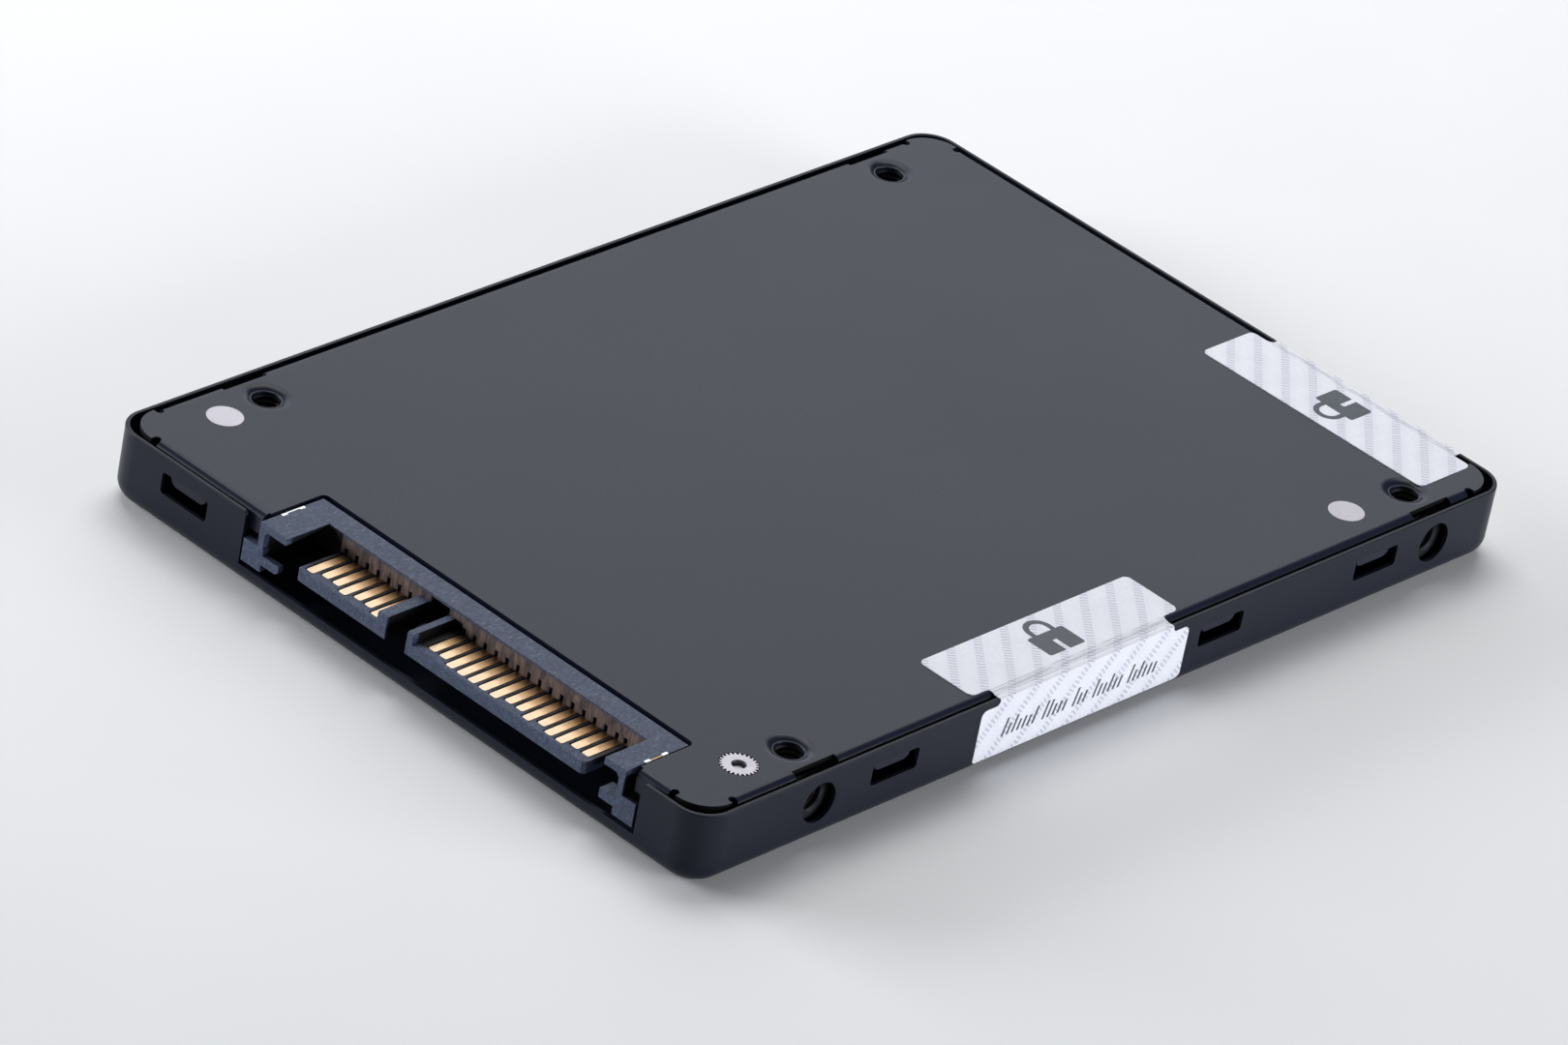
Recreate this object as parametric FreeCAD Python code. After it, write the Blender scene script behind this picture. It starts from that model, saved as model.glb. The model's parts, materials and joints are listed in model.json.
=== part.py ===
import FreeCAD, Part
import math
import os

# A 2.5-inch solid state drive, 7 mm high, in millimetres.
# The drive lies on its label face: Z = 0 is the label face, Z = HEIGHT the face with the
# four mounting holes. The connector end is at -Y. The origin is the centre of the base.

# ---- driving dimensions -------------------------------------------------------------
LENGTH = 100.2                # connector end to back end, along Y
WIDTH = 69.85                 # across the side walls, along X
HEIGHT = 7.0                  # label face to hole face
HALF_L = LENGTH / 2
HALF_W = WIDTH / 2

# label-side shell, one deep-drawn sheet
WALL = 0.36
RIM_Z = HEIGHT - 0.17         # the rim of the walls lies a little below the hole face
RIM_R = 0.1                   # broken outer edge of the rim
FLOOR = 0.6
SHELL_CORNER_R = 3.0          # upright corners, outside
SHELL_EDGE_R = 1.8            # round edge between floor and walls, outside
LABEL_RECESS = 0.15

# hole-side cover, one stamped and bent sheet that drops inside the walls
SHEET = 0.5
COVER_GAP = 0.36              # play between cover flange and wall
BEND_R = 0.72                 # outside radius of the bend
COVER_X = HALF_W - WALL - COVER_GAP
COVER_Y = HALF_L - WALL - COVER_GAP
COVER_UNDER = HEIGHT - SHEET
FLANGE_BOTTOM = 5.1
CORNER_TAB_INSET = 0.12       # flat corner tabs stop short of the flange plane
CORNER_TAB_R = 3.1
RELIEF_X = 30.5               # centre lines of the corner relief notches
RELIEF_Y = 45.65
RELIEF_W = 0.75
RELIEF_DEPTH = 0.11           # how far a notch reaches in past the bend line

# standard mounting pattern of the form factor
HOLE_X = 61.72 / 2
FRONT_HOLE_Y = -HALF_L + 14.0
BACK_HOLE_Y = FRONT_HOLE_Y + 76.6
SIDE_HOLE_Z = HEIGHT - 3.0
THREAD_R = 1.25               # tapping bore of an M3 thread
SIDE_CLEARANCE_R = 1.875      # hole in the shell wall around a side thread

# dimple and drawn collar round each face hole
DIMPLE_R = 2.2
DIMPLE_FLOOR_R = 1.42
DIMPLE_DEPTH = 0.28
COLLAR_R = 1.85
COLLAR_BOTTOM = 5.4
LIP = 0.1

# tapped mounting blocks in the corners
BLOCK_INNER_X = 28.6
BLOCK_OUTER_X = 33.5
BLOCK_HALF_Y = 2.9
BLOCK_BOTTOM = 0.75
BLOCK_TOP = COVER_UNDER - DIMPLE_DEPTH
BOSS_FACE_X = 33.97
BOSS_R = 2.0
SIDE_BORE_END_X = 32.45
UPRIGHT_BORE_BOTTOM = 1.3
FLANGE_WINDOW = 4.95          # gap in the cover flange beside each side thread

# snap slots in the walls and the tabs that click into them
SLOT_LENGTH = 5.5
SLOT_BOTTOM = 3.45
SLOT_TOP = 5.45
SLOT_R = 0.35
SIDE_SLOT_Y = [-27.3 + 20.0 * step for step in range(4)]
END_SLOT_X = 25.45
TAB_LENGTH = 4.4
TAB_BOTTOM = 4.35
TAB_TOP = 6.2                 # the pressed-out pad ends here, hidden behind the wall
TAB_REACH = 0.3
TAB_CORNER_R = 0.85

# connector: everything is measured from its own centre line
PLUG_X = 4.8
PLUG_FRONT = -HALF_L
PLUG_BASE = PLUG_FRONT + 4.8  # plane that the tongues stand out from
PLUG_BACK = PLUG_BASE + 2.3
PLUG_TOP = 6.9
WEB_OUT = 42.73 / 2
WEB_IN = WEB_OUT - 0.62
FOOT_OUT = 22.95
FOOT_IN = 20.65
FOOT_BOTTOM = 2.4
FOOT_TOP = 4.55
ARM_UNDER = 6.25              # underside of the top arms
LEFT_ARM_IN = 18.25           # inner ends of the arms, from the centre line
RIGHT_ARM_IN = 19.0
LEFT_ARM_BACK = 6.72          # the left arm thins out towards its root
LEDGE_BOTTOM = 3.1
LEDGE_TOP = 3.98
LEDGE_R = {-1: 0.5, 1: 0.1}   # lower tip of the left and right ledges
LEDGE_DEPTH = {-1: 0.55, 1: 1.5}  # front to back
LEDGE_SHORT = {-1: 0.4, 1: 0.0}  # ends this far short of the arm above it
GUSSET = 0.35                 # sloped corner between web and top arm
TONGUE_BOTTOM = 4.0
TONGUE_TOP = 5.15
KEY_TOP = 6.1
SIGNAL_TONGUE = (-11.7, -1.3)
POWER_TONGUE = (1.1, 21.8)
TONGUE_CHAMFER = 0.12
POWER_END_CHAMFER = 0.3
SIGNAL_KEY_W = 1.1
POWER_KEY_W = 0.65
PITCH = 1.27
CONTACT_W = 0.8
CONTACT_TOP = TONGUE_TOP - 0.04
CONTACT_T = 0.24
CONTACT_TIP = 0.24            # chamfer on either side of a contact's tip
CHANNEL_W = 1.08              # channel that each contact lies in
CHANNEL_FLOOR = CONTACT_TOP - CONTACT_T
SIGNAL_FIRST_X = -10.85
POWER_FIRST_X = 3.09
SIGNAL_LONG = [1, 4, 7]
POWER_LONG = [3, 4, 5, 6, 7, 10, 12, 13]
LONG_TIP_Y = PLUG_FRONT + 0.33
SHORT_TIP_Y = PLUG_FRONT + 0.84
WINDOW_H = 0.6                # core hole in the base wall above each contact root
WINDOW_X = (-0.47, -0.08)     # its sides, from the contact's centre line
END_WINDOW_X = (21.35, 21.8)   # last core hole, right of the power contacts
LEFT_POCKET = (-15.95, -11.75)  # hollows in the base wall, left of and between the tongues
MIDDLE_POCKET = (-1.2, 1.0)
POCKET_TOP = 6.65
POCKET_BEVEL = 0.9            # cut corner at the upper right of the left hollow
POCKET_DEPTH = 1.6            # how far the hollows run back into the base wall
CLIP_T = 0.13
CLIP_END_T = 0.28
CLIP_END_L = 0.6
CLIP_FRONT_Y = PLUG_FRONT + 2.25

# opening for the connector in the front wall and in the cover
OPENING_X = (-18.35, 28.05)
OPENING_SILL = 1.92
OPENING_CORNER_R = 0.45       # round corners where the opening meets the rim
NOTCH_X = (-16.95, 26.4)
NOTCH_BACK_Y = -42.5
NOTCH_R = 0.6
FRONT_FLANGE_ENDS = (-17.1, 26.75)

# circuit board, hung from three standoffs clinched into the cover
BOARD_BOTTOM = 3.0
BOARD_TOP = 3.8
BOARD_HALF_W = 33.0
BOARD_FRONT_Y = -46.5
BOARD_BACK_Y = 47.5
BOARD_BAY_Y = PLUG_BACK + 0.1
BLIND_STANDOFFS = {"standoff_front_left": (-30.3, -41.4), "standoff_back_right": (30.4, 33.3)}
THROUGH_STANDOFF = (30.4, -41.5)
STANDOFF_HEAD_R = 1.6
STANDOFF_BODY_R = 2.1
STANDOFF_BORE_R = 0.8
STANDOFF_EYE_R = 0.65
SPLINE_TEETH = 25
SPLINE_DEPTH = 0.24
SPLINE_PLAY = 0.09            # the knurled head's hole is this much larger, all round
SCREW_HEAD_R = 1.4
SCREW_HEAD_H = 0.7
SCREW_R = 0.79
SCREW_NOSE_R = (0.6, 0.38)      # pointed end that shows in the eye of the through standoff
SCREW_NOSE_TOP = 6.6

# self-adhesive pieces
SEAL_T = 0.08
SEAL_R = 0.6
SEAL_BOTTOM = 1.1
SEAL_FLAP_TOP = 6.3
SIDE_SEAL_Y = (-17.35, 8.2)
SIDE_SEAL_X = (27.5, 33.5)
BACK_SEAL_X = (5.6, 31.2)
BACK_SEAL_Y = (42.2, 48.9)
NECK_INSET = 2.1
LABEL_HALF = (30.5, 45.0)
LABEL_T = 0.1

UP = FreeCAD.Vector(0, 0, 1)
MARGIN = 1.0                  # how far cutting tools run past a face


def point(x, y, z):
    """A point or direction in the drive's frame."""
    return FreeCAD.Vector(x, y, z)


def box(x0, x1, y0, y1, z0, z1):
    """Rectangular solid between two opposite corners."""
    return Part.makeBox(x1 - x0, y1 - y0, z1 - z0, point(x0, y0, z0))


def post(radius, x, y, z0, z1):
    """Upright cylinder."""
    return Part.makeCylinder(radius, z1 - z0, point(x, y, z0), UP)


def cone(r0, r1, x, y, z0, z1):
    """Upright cone, radius r0 at z0 and r1 at z1."""
    return Part.makeCone(r0, r1, z1 - z0, point(x, y, z0), UP)


def round_slab(x0, x1, y0, y1, radius, z0, z1):
    """Upright slab with four round corners."""
    quarters = [(x1 - radius, y1 - radius, 0), (x0 + radius, y1 - radius, 90),
                (x0 + radius, y0 + radius, 180), (x1 - radius, y0 + radius, 270)]
    arcs = [Part.makeCircle(radius, point(cx, cy, z0), UP, start, start + 90)
            for cx, cy, start in quarters]
    edges = []
    for arc, following in zip(arcs, arcs[1:] + arcs[:1]):
        edges.append(arc)
        edges.append(Part.makeLine(arc.Vertexes[-1].Point, following.Vertexes[0].Point))
    return Part.Face(Part.Wire(edges)).extrude(point(0, 0, z1 - z0))


def profile_x(points, x0, x1):
    """Solid with the outline (y, z) points, running along X."""
    outline = [point(x0, y, z) for y, z in points]
    return Part.Face(Part.makePolygon(outline + outline[:1])).extrude(point(x1 - x0, 0, 0))


def profile_y(points, y0, y1):
    """Solid with the outline (x, z) points, running along Y."""
    outline = [point(x, y0, z) for x, z in points]
    return Part.Face(Part.makePolygon(outline + outline[:1])).extrude(point(0, y1 - y0, 0))


def profile_z(points, z0, z1):
    """Upright solid with the outline (x, y) points."""
    outline = [point(x, y, z0) for x, y in points]
    return Part.Face(Part.makePolygon(outline + outline[:1])).extrude(point(0, 0, z1 - z0))


def edges_at(shape, test):
    """Edges whose two ends both pass the test."""
    return [edge for edge in shape.Edges if all(test(v.Point) for v in edge.Vertexes)]


def on_wall(shape, wall, along):
    """Turn a shape drawn for the +X wall (X outward, Y along it) onto another wall."""
    angle = {"right": 0, "back": 90, "left": 180, "front": -90}[wall]
    placed = shape.copy()
    placed.rotate(point(0, 0, 0), UP, angle)
    shift = {"right": (0, along), "left": (0, along), "front": (along, 0), "back": (along, 0)}[wall]
    placed.translate(point(shift[0], shift[1], 0))
    return placed


def wall_face(wall):
    """Distance from the centre to a wall's outer face."""
    return HALF_W if wall in ("right", "left") else HALF_L


def snap_places():
    """Every snap slot: four on each side, one at the front, two at the back."""
    places = [(wall, y) for wall in ("right", "left") for y in SIDE_SLOT_Y]
    places.append(("front", -END_SLOT_X))
    places += [("back", x) for x in (-END_SLOT_X, END_SLOT_X)]
    return places


def save(shape, node):
    """Write one node, after checking that its solids are sound."""
    solid = shape.removeSplitter() if len(shape.Solids) == 1 else shape
    if not solid.isValid():
        raise ValueError(node + " is not a valid solid")
    solid.exportStep("parts/" + node + ".step")
    print(node, len(solid.Solids), round(solid.Volume, 2))


# ---- case -----------------------------------------------------------------------------
def outer_block(grow, top):
    """The closed outer form of the case up to a given height, grown evenly outward."""
    block = round_slab(-HALF_W - grow, HALF_W + grow, -HALF_L - grow, HALF_L + grow,
                       SHELL_CORNER_R + grow, -grow, top)
    base = edges_at(block, lambda p: p.z < 1e-6)
    return block.makeFillet(SHELL_EDGE_R + grow, base)


def connector_opening():
    """Cutter for the front wall: upright sides that flare out in an arc at the rim."""
    reach = OPENING_CORNER_R + MARGIN
    body = box(OPENING_X[0], OPENING_X[1], 0, 2 * MARGIN, OPENING_SILL, HEIGHT + MARGIN)
    for side, edge_x in ((-1, OPENING_X[0]), (1, OPENING_X[1])):
        ends = sorted((edge_x, edge_x + side * reach))
        flare = box(ends[0], ends[1], 0, 2 * MARGIN, RIM_Z - OPENING_CORNER_R, HEIGHT + MARGIN)
        keep_x = edge_x + side * OPENING_CORNER_R
        round_off = Part.makeCylinder(OPENING_CORNER_R, 2 * MARGIN,
                                      point(keep_x, 0, RIM_Z - OPENING_CORNER_R), point(0, 1, 0))
        ends = sorted((keep_x, edge_x + side * reach))
        beyond = box(ends[0], ends[1], 0, 2 * MARGIN, RIM_Z - OPENING_CORNER_R - MARGIN, HEIGHT + MARGIN)
        body = body.fuse(flare.cut([round_off, beyond]))
    body.translate(point(0, -HALF_L - MARGIN, 0))
    return body


def shell():
    """Deep-drawn tray: floor, four walls, connector opening, side holes, snap slots."""
    cavity = round_slab(-HALF_W + WALL, HALF_W - WALL, -HALF_L + WALL, HALF_L - WALL,
                        SHELL_CORNER_R - WALL, FLOOR, HEIGHT + MARGIN)
    floor_edges = edges_at(cavity, lambda p: abs(p.z - FLOOR) < 1e-6)
    cavity = cavity.makeFillet(SHELL_EDGE_R - WALL, floor_edges)
    tools = [connector_opening()]
    for y in (FRONT_HOLE_Y, BACK_HOLE_Y):
        for side in (-1, 1):
            start = point(side * (HALF_W - MARGIN), y, SIDE_HOLE_Z)
            tools.append(Part.makeCylinder(SIDE_CLEARANCE_R, 2 * MARGIN, start, point(side, 0, 0)))
    for wall, along in snap_places():
        slot = round_slab(-SLOT_TOP, -SLOT_BOTTOM, -SLOT_LENGTH / 2, SLOT_LENGTH / 2,
                          SLOT_R, 0, 2 * MARGIN)
        slot.rotate(point(0, 0, 0), point(0, 1, 0), 90)
        slot.translate(point(wall_face(wall) - MARGIN, 0, 0))
        tools.append(on_wall(slot, wall, along))
    recess = round_slab(-LABEL_HALF[0] - 0.5, LABEL_HALF[0] + 0.5, -LABEL_HALF[1] - 0.5,
                        LABEL_HALF[1] + 0.5, 2.0, -MARGIN, LABEL_RECESS)
    body = outer_block(0, RIM_Z)
    rim = edges_at(body, lambda p: p.z > RIM_Z - 1e-6)
    return body.makeFillet(RIM_R, rim).cut(cavity).cut(tools + [recess])


def flange(face, length, along, wall):
    """One bent flange: quarter-round bend and upright plate, from the bend line down."""
    outer = BEND_R
    inner = BEND_R - SHEET
    bend_x = face - BEND_R
    bend_z = HEIGHT - BEND_R
    ring = post(outer, 0, 0, 0, length).cut(post(inner, 0, 0, -MARGIN, length + MARGIN))
    ring = ring.common(box(0, outer, 0, outer, 0, length))
    ring.rotate(point(0, 0, 0), point(1, 0, 0), 90)
    ring.translate(point(bend_x, length / 2, bend_z))
    plate = box(face - SHEET, face, -length / 2, length / 2, FLANGE_BOTTOM, bend_z)
    return on_wall(ring.fuse(plate), wall, along)


def snap_tab(face):
    """Tongue below the flange with a pressed-out pad that clicks into a wall slot."""
    tab = round_slab(-TAB_TOP, -TAB_BOTTOM, -TAB_LENGTH / 2, TAB_LENGTH / 2,
                     TAB_CORNER_R, 0, SHEET + TAB_REACH)
    rim = edges_at(tab, lambda p: p.z > SHEET + TAB_REACH - 1e-6)
    tab = tab.makeFillet(0.12, rim)
    tab.rotate(point(0, 0, 0), point(0, 1, 0), 90)
    tab.translate(point(face - SHEET, 0, 0))
    return tab


def relief_notch(x, y, along_x):
    """Round-ended notch that separates a corner tab from a flange."""
    reach = BEND_R + RELIEF_DEPTH + MARGIN
    half = RELIEF_W / 2
    if along_x:
        side = 1 if x > 0 else -1
        inner = side * (COVER_X - BEND_R - RELIEF_DEPTH + half)
        ends = sorted((inner, inner + side * reach))
        cut = box(ends[0], ends[1], y - half, y + half, FLANGE_BOTTOM, HEIGHT + MARGIN)
        return cut.fuse(post(half, inner, y, FLANGE_BOTTOM, HEIGHT + MARGIN))
    side = 1 if y > 0 else -1
    inner = side * (COVER_Y - BEND_R - RELIEF_DEPTH + half)
    ends = sorted((inner, inner + side * reach))
    cut = box(x - half, x + half, ends[0], ends[1], FLANGE_BOTTOM, HEIGHT + MARGIN)
    return cut.fuse(post(half, x, inner, FLANGE_BOTTOM, HEIGHT + MARGIN))


def hole_places():
    """The four face holes."""
    return [(x, y) for y in (FRONT_HOLE_Y, BACK_HOLE_Y) for x in (-HOLE_X, HOLE_X)]


def dimple_form(x, y, top_z, grow):
    """Trumpet-shaped dish: one arc leaves the flat sheet smoothly and steepens towards the floor."""
    inner = DIMPLE_FLOOR_R + grow
    outer = DIMPLE_R + grow
    run = outer - inner
    radius = (run ** 2 + DIMPLE_DEPTH ** 2) / (2 * DIMPLE_DEPTH)
    half = math.asin(run / radius) / 2
    floor_z = top_z - DIMPLE_DEPTH
    middle = point(x + outer - radius * math.sin(half), y, top_z - radius * (1 - math.cos(half)))
    arc = Part.Arc(point(x + inner, y, floor_z), middle, point(x + outer, y, top_z))
    edges = [arc.toShape(),
             Part.makeLine(point(x + outer, y, top_z), point(x, y, top_z)),
             Part.makeLine(point(x, y, top_z), point(x, y, floor_z)),
             Part.makeLine(point(x, y, floor_z), point(x + inner, y, floor_z))]
    return Part.Face(Part.Wire(edges)).revolve(point(x, y, 0), UP, 360)


def lip_cutter(x, y, floor_z):
    """Cutter that leaves a rolled lip between the dimple floor and the tapped bore."""
    outer = THREAD_R + LIP
    half = math.pi / 4
    arc = Part.Arc(point(x + outer, y, floor_z),
                   point(x + outer - LIP * math.sin(half), y, floor_z - LIP * (1 - math.cos(half))),
                   point(x + THREAD_R, y, floor_z - LIP))
    edges = [arc.toShape(), Part.makeLine(point(x + THREAD_R, y, floor_z - LIP), point(x, y, floor_z - LIP)),
             Part.makeLine(point(x, y, floor_z - LIP), point(x, y, floor_z)),
             Part.makeLine(point(x, y, floor_z), point(x + outer, y, floor_z))]
    return Part.Face(Part.Wire(edges)).revolve(point(x, y, 0), UP, 360)


def cover():
    """Flat sheet with bent flanges, corner tabs, connector notch, dimples and tapped collars."""
    tab_x = COVER_X - CORNER_TAB_INSET
    tab_y = COVER_Y - CORNER_TAB_INSET
    sheet = round_slab(-tab_x, tab_x, -tab_y, tab_y, CORNER_TAB_R, COVER_UNDER, HEIGHT)
    trims = []
    for side in (-1, 1):
        ends = sorted((side * (COVER_X - BEND_R), side * (HALF_W + MARGIN)))
        trims.append(box(ends[0], ends[1], -RELIEF_Y, RELIEF_Y, COVER_UNDER - MARGIN, HEIGHT + MARGIN))
        ends = sorted((side * (COVER_Y - BEND_R), side * (HALF_L + MARGIN)))
        trims.append(box(-RELIEF_X, RELIEF_X, ends[0], ends[1], COVER_UNDER - MARGIN, HEIGHT + MARGIN))
    sheet = sheet.cut(trims)

    front_spans = [(-RELIEF_X, FRONT_FLANGE_ENDS[0]), (FRONT_FLANGE_ENDS[1], RELIEF_X)]
    strips = [flange(COVER_X, 2 * RELIEF_Y, 0, wall) for wall in ("right", "left")]
    strips.append(flange(COVER_Y, 2 * RELIEF_X, 0, "back"))
    strips += [flange(COVER_Y, end - start, (start + end) / 2, "front") for start, end in front_spans]
    for wall, along in snap_places():
        face = COVER_X if wall in ("right", "left") else COVER_Y
        strips.append(on_wall(snap_tab(face), wall, along))

    formed = []
    for x, y in hole_places():
        formed.append(dimple_form(x, y, COVER_UNDER, 0.2))
        formed.append(post(COLLAR_R, x, y, COLLAR_BOTTOM, BLOCK_TOP))
    body = sheet.fuse(strips + formed)

    tools = [relief_notch(x, y, True) for x in (-RELIEF_X, RELIEF_X) for y in (-RELIEF_Y, RELIEF_Y)]
    tools += [relief_notch(x, y, False) for x in (-RELIEF_X, RELIEF_X) for y in (-RELIEF_Y, RELIEF_Y)]
    tools.append(round_slab(NOTCH_X[0], NOTCH_X[1], -HALF_L, NOTCH_BACK_Y, NOTCH_R,
                            FLANGE_BOTTOM - MARGIN, HEIGHT + MARGIN))
    for x, y in hole_places():
        side = 1 if x > 0 else -1
        ends = sorted((side * (COVER_X - BEND_R - 0.06), side * (COVER_X + MARGIN)))
        tools.append(box(ends[0], ends[1], y - FLANGE_WINDOW / 2, y + FLANGE_WINDOW / 2,
                         FLANGE_BOTTOM - MARGIN, HEIGHT + MARGIN))
        floor_z = HEIGHT - DIMPLE_DEPTH
        tools.append(dimple_form(x, y, HEIGHT, 0))
        tools.append(lip_cutter(x, y, floor_z))
        tools.append(post(THREAD_R, x, y, COLLAR_BOTTOM - MARGIN, HEIGHT))
    for x, y in list(BLIND_STANDOFFS.values()) + [THROUGH_STANDOFF]:
        splined = (x, y) == THROUGH_STANDOFF
        tools.append(post(STANDOFF_HEAD_R + (SPLINE_PLAY if splined else 0), x, y, COVER_UNDER, HEIGHT))
    return body.cut(tools)


def mount_block(side, y):
    """Tapped corner block: one thread up through the cover, one out through the side wall."""
    ends = sorted((side * BLOCK_INNER_X, side * BLOCK_OUTER_X))
    block = box(ends[0], ends[1], y - BLOCK_HALF_Y, y + BLOCK_HALF_Y, BLOCK_BOTTOM, BLOCK_TOP)
    upright = edges_at(block, lambda p: side * p.x < BLOCK_INNER_X + 1e-6)
    upright = [edge for edge in upright if abs(edge.tangentAt(edge.FirstParameter).z) > 0.9]
    block = block.makeFillet(1.0, upright)
    outward = point(side, 0, 0)
    boss = Part.makeCylinder(BOSS_R, BOSS_FACE_X - BLOCK_OUTER_X + MARGIN,
                             point(side * (BLOCK_OUTER_X - MARGIN), y, SIDE_HOLE_Z), outward)
    mouth = Part.makeCone(THREAD_R, THREAD_R + 2 * LIP, 2 * LIP,
                          point(side * (BOSS_FACE_X - 2 * LIP), y, SIDE_HOLE_Z), outward)
    side_bore = Part.makeCylinder(THREAD_R, BOSS_FACE_X - SIDE_BORE_END_X,
                                  point(side * SIDE_BORE_END_X, y, SIDE_HOLE_Z), outward)
    upright_bore = post(THREAD_R, side * HOLE_X, y, UPRIGHT_BORE_BOTTOM, BLOCK_TOP)
    collar_seat = post(COLLAR_R, side * HOLE_X, y, COLLAR_BOTTOM, BLOCK_TOP)
    return block.fuse(boss).cut([mouth, side_bore, upright_bore, collar_seat])


# ---- standoffs and screws ---------------------------------------------------------------
def standoff_head(x, y, splined):
    """The disc that sits flush in the cover, round or with fine knurling teeth."""
    if not splined:
        return post(STANDOFF_HEAD_R, x, y, COVER_UNDER, HEIGHT)
    outline = []
    for step in range(4 * SPLINE_TEETH):
        angle = 2 * math.pi * (step - 0.2 * (-1) ** step) / (4 * SPLINE_TEETH)
        radius = STANDOFF_HEAD_R + 0.03 - (SPLINE_DEPTH if step % 4 > 1 else 0)
        outline.append(point(x + radius * math.cos(angle), y + radius * math.sin(angle), COVER_UNDER))
    face = Part.Face(Part.makePolygon(outline + outline[:1]))
    return face.extrude(point(0, 0, SHEET))


def standoff(x, y, through):
    """Clinch standoff from the cover down to the board; tapped from below."""
    body = post(STANDOFF_BODY_R, x, y, BOARD_TOP, COVER_UNDER)
    body = body.fuse(standoff_head(x, y, through))
    bore = post(STANDOFF_BORE_R, x, y, BOARD_TOP, COVER_UNDER - 0.3)
    if through:
        bore = bore.fuse(post(STANDOFF_EYE_R, x, y, BOARD_TOP, HEIGHT))
    return body.cut(bore)


def board_screw(x, y, tip_z):
    """Pan-head screw that clamps the board up against a standoff."""
    head = post(SCREW_HEAD_R, x, y, BOARD_BOTTOM - SCREW_HEAD_H, BOARD_BOTTOM)
    crown = edges_at(head, lambda p: p.z < BOARD_BOTTOM - SCREW_HEAD_H + 1e-6)
    head = head.makeFillet(0.3, crown)
    drive = box(x - 0.85, x + 0.85, y - 0.16, y + 0.16, 0, BOARD_BOTTOM - SCREW_HEAD_H + 0.35)
    cross = drive.copy()
    cross.rotate(point(x, y, 0), UP, 90)
    shank = post(SCREW_R, x, y, BOARD_BOTTOM - 0.1, tip_z)
    return head.fuse(shank).cut([drive, cross])


def board_screws():
    """The three board screws."""
    screws = [board_screw(x, y, 5.8) for x, y in BLIND_STANDOFFS.values()]
    x, y = THROUGH_STANDOFF
    nose = cone(SCREW_NOSE_R[0], SCREW_NOSE_R[1], x, y, 6.0, SCREW_NOSE_TOP)
    screws.append(board_screw(x, y, 6.1).fuse(nose))
    return Part.makeCompound(screws)


# ---- connector --------------------------------------------------------------------------
def contact_places():
    """Each contact's group, centre and tip: seven signal and fifteen power contacts."""
    places = []
    for number in range(1, 8):
        tip = LONG_TIP_Y if number in SIGNAL_LONG else SHORT_TIP_Y
        places.append(("signal", SIGNAL_FIRST_X + PITCH * (number - 1), tip))
    for number in range(1, 16):
        tip = LONG_TIP_Y if number in POWER_LONG else SHORT_TIP_Y
        places.append(("power", POWER_FIRST_X + PITCH * (number - 1), tip))
    return places


def contact(x, tip_y):
    """Flat blade let into the tongue, with a chamfered tip and a stepped solder tail."""
    half = CONTACT_W / 2
    nose = half - CONTACT_TIP
    outline = [(x - half, PLUG_BASE), (x - half, tip_y + CONTACT_TIP), (x - nose, tip_y),
               (x + nose, tip_y), (x + half, tip_y + CONTACT_TIP), (x + half, PLUG_BASE)]
    blade = profile_z(outline, CHANNEL_FLOOR, CONTACT_TOP)
    drop_y = PLUG_BACK + 0.3
    sides = (x - half + 0.1, x + half - 0.1)
    root = box(sides[0], sides[1], PLUG_BASE, drop_y, CHANNEL_FLOOR, CONTACT_TOP)
    tail = profile_x([(drop_y, CONTACT_TOP), (drop_y, CHANNEL_FLOOR), (drop_y + 0.3, BOARD_TOP),
                      (drop_y + 1.3, BOARD_TOP), (drop_y + 1.3, BOARD_TOP + CONTACT_T),
                      (drop_y + 0.5, BOARD_TOP + CONTACT_T), (drop_y + 0.2, CONTACT_TOP)],
                     sides[0], sides[1])
    return blade.fuse([root, tail])


def contacts(group):
    """All contacts of one group as separate solids."""
    return Part.makeCompound([contact(x, tip) for name, x, tip in contact_places() if name == group])


def tongue(span, key_side, key_width):
    """Contact tongue with its upright key leg; the leg is on the side facing the other tongue."""
    x0, x1 = span
    leg_x = (x1 - key_width, x1) if key_side > 0 else (x0, x0 + key_width)
    parts = []
    for sides, top in (((x0, x1), TONGUE_TOP), (leg_x, KEY_TOP)):
        outline = [(PLUG_BASE, TONGUE_BOTTOM), (PLUG_FRONT, TONGUE_BOTTOM),
                   (PLUG_FRONT, top - TONGUE_CHAMFER), (PLUG_FRONT + TONGUE_CHAMFER, top),
                   (PLUG_BASE, top)]
        parts.append(profile_x(outline, sides[0], sides[1]))
    body = parts[0]
    free_x = x0 if key_side > 0 else x1
    cut = TONGUE_CHAMFER if key_side > 0 else POWER_END_CHAMFER
    corner = edges_at(body, lambda p: abs(p.x - free_x) < 1e-6 and p.y < PLUG_FRONT + 1e-6)
    return body.makeChamfer(cut, corner).fuse(parts[1])


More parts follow.
